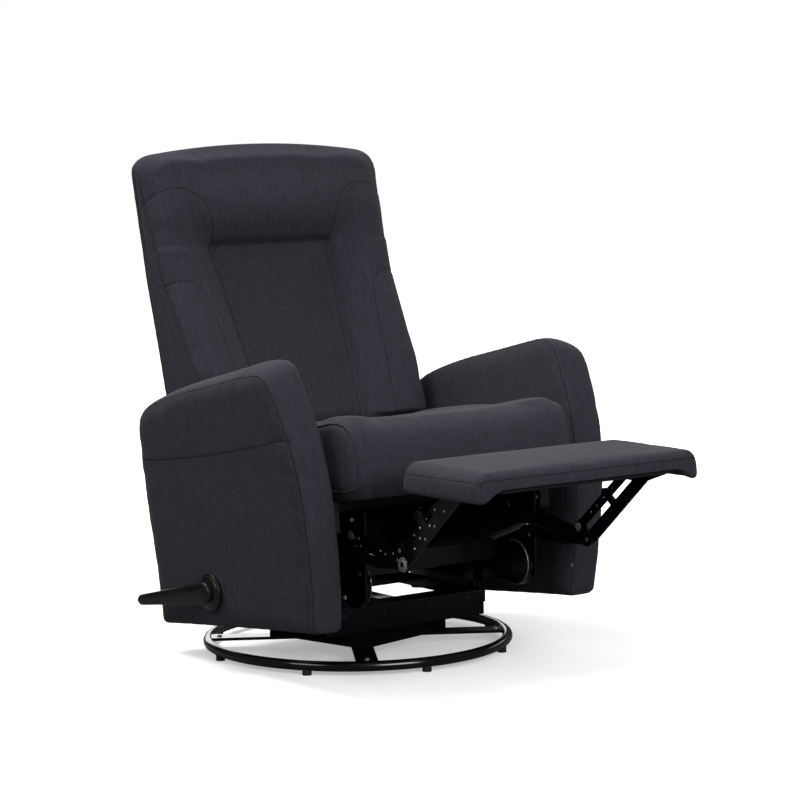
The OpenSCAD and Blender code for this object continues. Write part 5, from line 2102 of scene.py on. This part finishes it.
@dataclass
class Glider(SubAssembly):
    """The turning frame and the swing links."""

    keeps: dict[str, Finish] = field(default_factory=lambda: kept(
        SATIN="turn_plate saddle_beams channel_front channel_rear apron turn_sides link_posts",
        GREY="swing_links_front swing_links_rear"))
    half: float = 186.0
    face_y: float = 168.0
    lip_z: float = 112.5
    lip_r: float = 3.2
    bolt_z: float = 99.0
    bolt_x: tuple[float, ...] = (-150.0, -58.0, 58.0, 150.0)

    def build(self) -> None:
        """Adds the rolled edges of both channels and the bolts on their faces."""
        self.dress_nodes()
        iron = Ironwork()
        for way, word in ((-1, "front"), (1, "rear")):
            edge = [(x, way * self.face_y, self.lip_z) for x in np.linspace(-self.half, self.half, 24)]
            lip = tube(f"channel_lip_{word}", CHAIR.swivel(np.array(edge)), self.lip_r * MM, 16)
            iron.place(lip, Finish.GLOSS, "turn_frame", "steel_black")
            for n, x in enumerate(self.bolt_x):
                at = (x, way * self.face_y, self.bolt_z)
                iron.place(iron.bolt(f"channel_bolt_{word}_{n}", at, "Y", way, 4.6, 3.6), Finish.GREY, "turn_frame")
        LOG.info("glider: %d small parts", len(iron.made))


@dataclass
class Chassis(SubAssembly):
    """The side plates, rails and hinge plates under the seat."""

    keeps: dict[str, Finish] = field(default_factory=lambda: kept(
        SATIN="side_plate_right side_plate_left hangers cross_rail_rear cam_discs seat_angles back_hinges",
        GREY="cross_rail_front", ZINC="pivot_studs"))
    plate_in: float = 201.0
    plate_out: float = 205.0
    rivets: tuple[Point, ...] = (
        (-300.0, 206.0), (-300.0, 238.0), (-238.0, 292.0), (-222.0, 176.0), (-150.0, 286.0), (-110.0, 158.0),
        (-62.0, 262.0), (58.0, 250.0), (60.0, 158.0), (140.0, 232.0),
    )
    post: Point = (-296.0, 259.0)
    spring_x: float = 190.0
    spring_end: Point = (-191.0, 219.0)
    flap: tuple[float, ...] = (232.0, 179.6, 140.0, 248.0, 1.6)
    cam: tuple[float, ...] = (-270.0, 182.0, 43.5, 188.0)
    # Angles of the bright zinc arc laid on each cam's rim as a painted highlight.
    cam_highlight_arc: Point = (70.0, 285.0)

    def build(self) -> None:
        """Adds rivets, springs, a thin bright zinc arc on each cam as a painted highlight, and the lining behind the
        seat.
        """
        self.dress_nodes()
        iron = Ironwork()
        for side, word in SIDES:
            rivets = iron.studs(f"plate_rivets_{word}", self.rivets, self.plate_in, self.plate_out, side, 3.4)
            iron.place(rivets, Finish.ZINC, "chassis")
            post = iron.studs(f"spring_post_{word}", [self.post], self.spring_x - 4.0, self.plate_out, side, 3.0)
            iron.place(post, Finish.ZINC, "chassis")
            ends = [(side * self.spring_x, *row) for row in (self.post, self.spring_end)]
            spring = iron.spring(f"return_spring_{word}", *ends, 5.2, 0.9, 17)
            iron.place(spring, Finish.SPRING, "chassis", "spring_steel")
            # A thin bright zinc arc along part of each cam's rim is a painted highlight.
            y, z, radius, x = self.cam
            turns = np.radians(np.linspace(*self.cam_highlight_arc, 40))
            rim = [(side * x, y + radius * math.cos(turn), z + radius * math.sin(turn)) for turn in turns]
            ring = tube(f"cam_rim_{word}", CHAIR.swivel(np.array(rim)), 0.9 * MM, 8)
            iron.place(ring, Finish.ZINC, "chassis")
        iron.place(iron.cloth_flap("seat_lining_rear", *self.flap), Finish.LINING, "chassis", "fabric_charcoal")
        LOG.info("chassis: %d small parts", len(iron.made))


@dataclass
class Seat(SubAssembly):
    """The seat's rails and springs, its cushion and both arms."""

    keeps: dict[str, Finish] = field(default_factory=lambda: kept(
        # The arm cleats take the near-black lining as painted shade where they show under the arms.
        WOOD="seat_side_right seat_side_left seat_rear_rail", LINING="seat_front_rail arm_cleats",
        SPRING="seat_springs", ZINC="arm_screws"))

    def build(self) -> None:
        """Builds the cushion and both arms."""
        self.dress_nodes()
        foam = Stuffing(voxel=0.0, cap=9.0, fill=0.85)
        SeatCushion("seat_cushion_cover", "chassis", ("seat_cushion",), stuffing=foam).build()
        for side, word in SIDES:
            wadding = Stuffing(cap=5.0, fill=0.9)
            Arm(f"arm_{word}_cover", "chassis", (f"arm_{word}",), stuffing=wadding, side=side).build()


@dataclass
class Footrest(SubAssembly):
    """The folding links and the padded footrest."""

    keeps: dict[str, Finish] = field(default_factory=lambda: kept(
        SATIN="lower_links upper_links guide_links drive_rods footrest_brackets", ZINC="link_pins"))
    upper_plate: Point = (220.3, 224.3)
    guide_plate: Point = (207.0, 211.0)
    lower_plate: Point = (213.0, 217.0)
    cap_span: Point = (222.0, 224.9)
    elbow: Point = (-462.0, 247.0)
    rest: Point = (-622.0, 388.0)
    upper_spots: tuple[Point, ...] = ((0.24, 0.0), (0.36, 5.0), (0.42, -5.0), (0.55, 5.0), (0.6, -4.0), (0.8, 0.0))
    guide_spots: tuple[Point, ...] = ((-482.0, 302.5), (-499.0, 317.0), (-520.0, 335.0), (-545.0, 356.0))
    lower_spots: tuple[Point, ...] = (
        (-300.0, 276.0), (-304.0, 262.0), (-316.0, 277.0), (-322.0, 264.0), (-384.0, 262.0), (-400.0, 258.0),
        (-424.0, 262.0), (-436.0, 252.0),
    )

    def build(self) -> None:
        """Builds the pad, the lined board and the small parts."""
        self.dress_nodes()
        nodes = ("footrest_pad", "footrest_rolls")
        FootrestPad("footrest_cover", "footrest", nodes, stuffing=Stuffing(voxel=0.0, cap=3.0)).build()
        LinedBoard("footrest_lining", "footrest", ("footrest_board",), slot="wood_rail").build()
        self.iron()

    def iron(self) -> None:
        """Adds the rivets and pin caps of the folding links."""
        iron = Ironwork()
        elbow, rest = np.array(self.elbow), np.array(self.rest)
        way = (rest - elbow) / np.linalg.norm(rest - elbow)
        across = np.array((way[1], -way[0]))
        spots = [tuple(elbow + (rest - elbow) * t + across * off) for t, off in self.upper_spots]
        for side, word in SIDES:
            upper = iron.studs(f"upper_rivets_{word}", spots, *self.upper_plate, side, 2.5, 0.45)
            iron.place(upper, Finish.ZINC, "upper_arm")
            guide = iron.studs(f"guide_rivets_{word}", self.guide_spots, *self.guide_plate, side, 2.4)
            iron.place(guide, Finish.ZINC, "guide")
            lower = iron.studs(f"lower_rivets_{word}", self.lower_spots, *self.lower_plate, side, 2.3)
            iron.place(lower, Finish.ZINC, "lower_arm")
            cap = iron.studs(f"elbow_cap_{word}", [self.elbow], *self.cap_span, side, 5.2, 1.0)
            iron.place(cap, Finish.SATIN, "upper_arm", "steel_satin")
        LOG.info("footrest: %d small parts", len(iron.made))


@dataclass
class Handle(SubAssembly):
    """The release handle and the drive shaft; sizes in millimetres in the swivel frame."""

    keeps: dict[str, Finish] = field(default_factory=lambda: kept(
        SATIN="torque_tube cranks", ZINC="handle_shaft", PLASTIC="handle_screw"))
    pivot_y: float = -12.0
    pivot_z: float = 150.0
    hub_x: float = 350.7
    hub_r: float = 36.0
    hub_t: float = 12.0
    reach: float = 207.0
    drop: float = 39.0
    out: float = 24.0
    root_h: float = 42.0
    tip_h: float = 20.0
    tip_round: float = 14.0
    thick: float = 10.0
    swell: float = 1.4

    def build(self) -> None:
        """Builds the moulded hub and lever."""
        self.dress_nodes()
        for piece, node in ((self.hub(), "handle_hub"), (self.lever(), "handle_lever")):
            dress(piece, Finish.PLASTIC, "handle_plastic")
            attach(piece, "drive")
            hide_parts(node)
            LOG.info("%s: %d faces", node, len(piece.data.polygons))

    def hub(self) -> bpy.types.Object:
        """Makes the domed hub with its stepped rim.

        Returns:
            The hub.
        """
        r, t = self.hub_r, self.hub_t
        rows = [(0.0, r - 2.0), (0.6, r - 0.6), (2.0, r), (5.2, r), (6.4, r - 0.8), (6.9, r - 2.4), (7.0, r - 3.6),
                (8.6, r - 4.6), (10.2, r - 7.2), (11.3, r - 12.0), (t, r - 20.0), (t + 0.2, 4.0)]
        profile = [(-a * MM, b * MM) for a, b in rows]
        centre = CHAIR.swivel(np.array((-self.hub_x, self.pivot_y, self.pivot_z)))
        return turned("handle_hub_cover", profile, centre, "X", 72)

    def lever(self) -> bpy.types.Object:
        """Makes the tapered lever from rounded sections.

        Returns:
            The lever.
        """
        way = np.array((-self.out, self.reach, -self.drop))
        full = float(np.linalg.norm(way))
        way /= full
        across = np.cross(way, (-1.0, 0.0, 0.0))
        across /= np.linalg.norm(across)
        out = np.cross(across, way)
        out *= -1.0 if out[0] > 0 else 1.0
        root = np.array((-self.hub_x - self.hub_t - 1.5, self.pivot_y, self.pivot_z))
        rings = []
        half = self.root_h / 2
        tip = full - self.tip_round
        runs = np.concatenate([-half * np.cos(np.linspace(0.12, math.pi / 2, 9)), np.linspace(6.0, tip, 22),
                               tip + self.tip_round * np.sin(np.linspace(0.2, math.pi / 2 - 0.1, 7))])
        for run in runs:
            share = max(0.0, run) / full
            tall = half * (1 - share) + self.tip_h / 2 * share
            thick = self.thick / 2 * (1.12 - 0.25 * share)
            if run < 0:
                tall = math.sqrt(max(4.0, half**2 - run**2))
                thick *= 0.6 + 0.4 * tall / half
            if run > tip:
                near = math.sqrt(max(0.02, 1 - ((run - tip) / self.tip_round) ** 2))
                tall, thick = tall * near, thick * (0.45 + 0.55 * near)
            ring = []
            for angle in np.linspace(0.0, 2 * math.pi, 28, endpoint=False):
                c, s = math.cos(angle), math.sin(angle)
                rise = tall * math.copysign(abs(s) ** 0.75, s)
                crown = self.swell * (1 - (rise / max(tall, 1e-6)) ** 2) * max(0.0, c)
                bulge = thick * math.copysign(abs(c) ** 0.6, c) + crown
                ring.append(root + way * run + across * rise + out * (bulge + thick))
            rings.append(ring)
        return loft("handle_lever_cover", CHAIR.swivel(np.array(rings)))


@dataclass
class Backrest(SubAssembly):
    """The back's frame, cover and cushions."""

    keeps: dict[str, Finish] = field(default_factory=lambda: kept(
        SATIN="back_brackets", WOOD="back_posts back_rails", SPRING="back_springs"))

    def build(self) -> None:
        """Builds the cover, the lumbar panel and the stuffed cushion round it."""
        self.dress_nodes()
        BackShell("back_cover", "back", ("back_shell",), stuffing=Stuffing(voxel=0.0, cap=0.0, fill=0.9)).build()
        thin = Stuffing(voxel=0.0, cap=3.0, fill=0.5, face=FORWARD)
        LumbarPanel("lumbar_cover", "back", ("lumbar_panel",), stuffing=thin).build()
        nodes = ("bolster_right", "bolster_left", "head_pillow")
        BackCushion("back_cushion_cover", "back", nodes, stuffing=Stuffing(voxel=0.0, cap=6.0, face=FORWARD)).build()


def main() -> None:
    """Builds the studio and each sub-assembly in turn."""
    logging.basicConfig(level=logging.INFO, format="%(name)s: %(message)s")
    Studio().build()
    for part in (Base(), Glider(), Chassis(), Seat(), Footrest(), Handle(), Backrest()):
        part.build()
        LOG.info("%s: %d kept nodes", type(part).__name__, len(part.keeps))


if __name__ == "__main__":
    main()
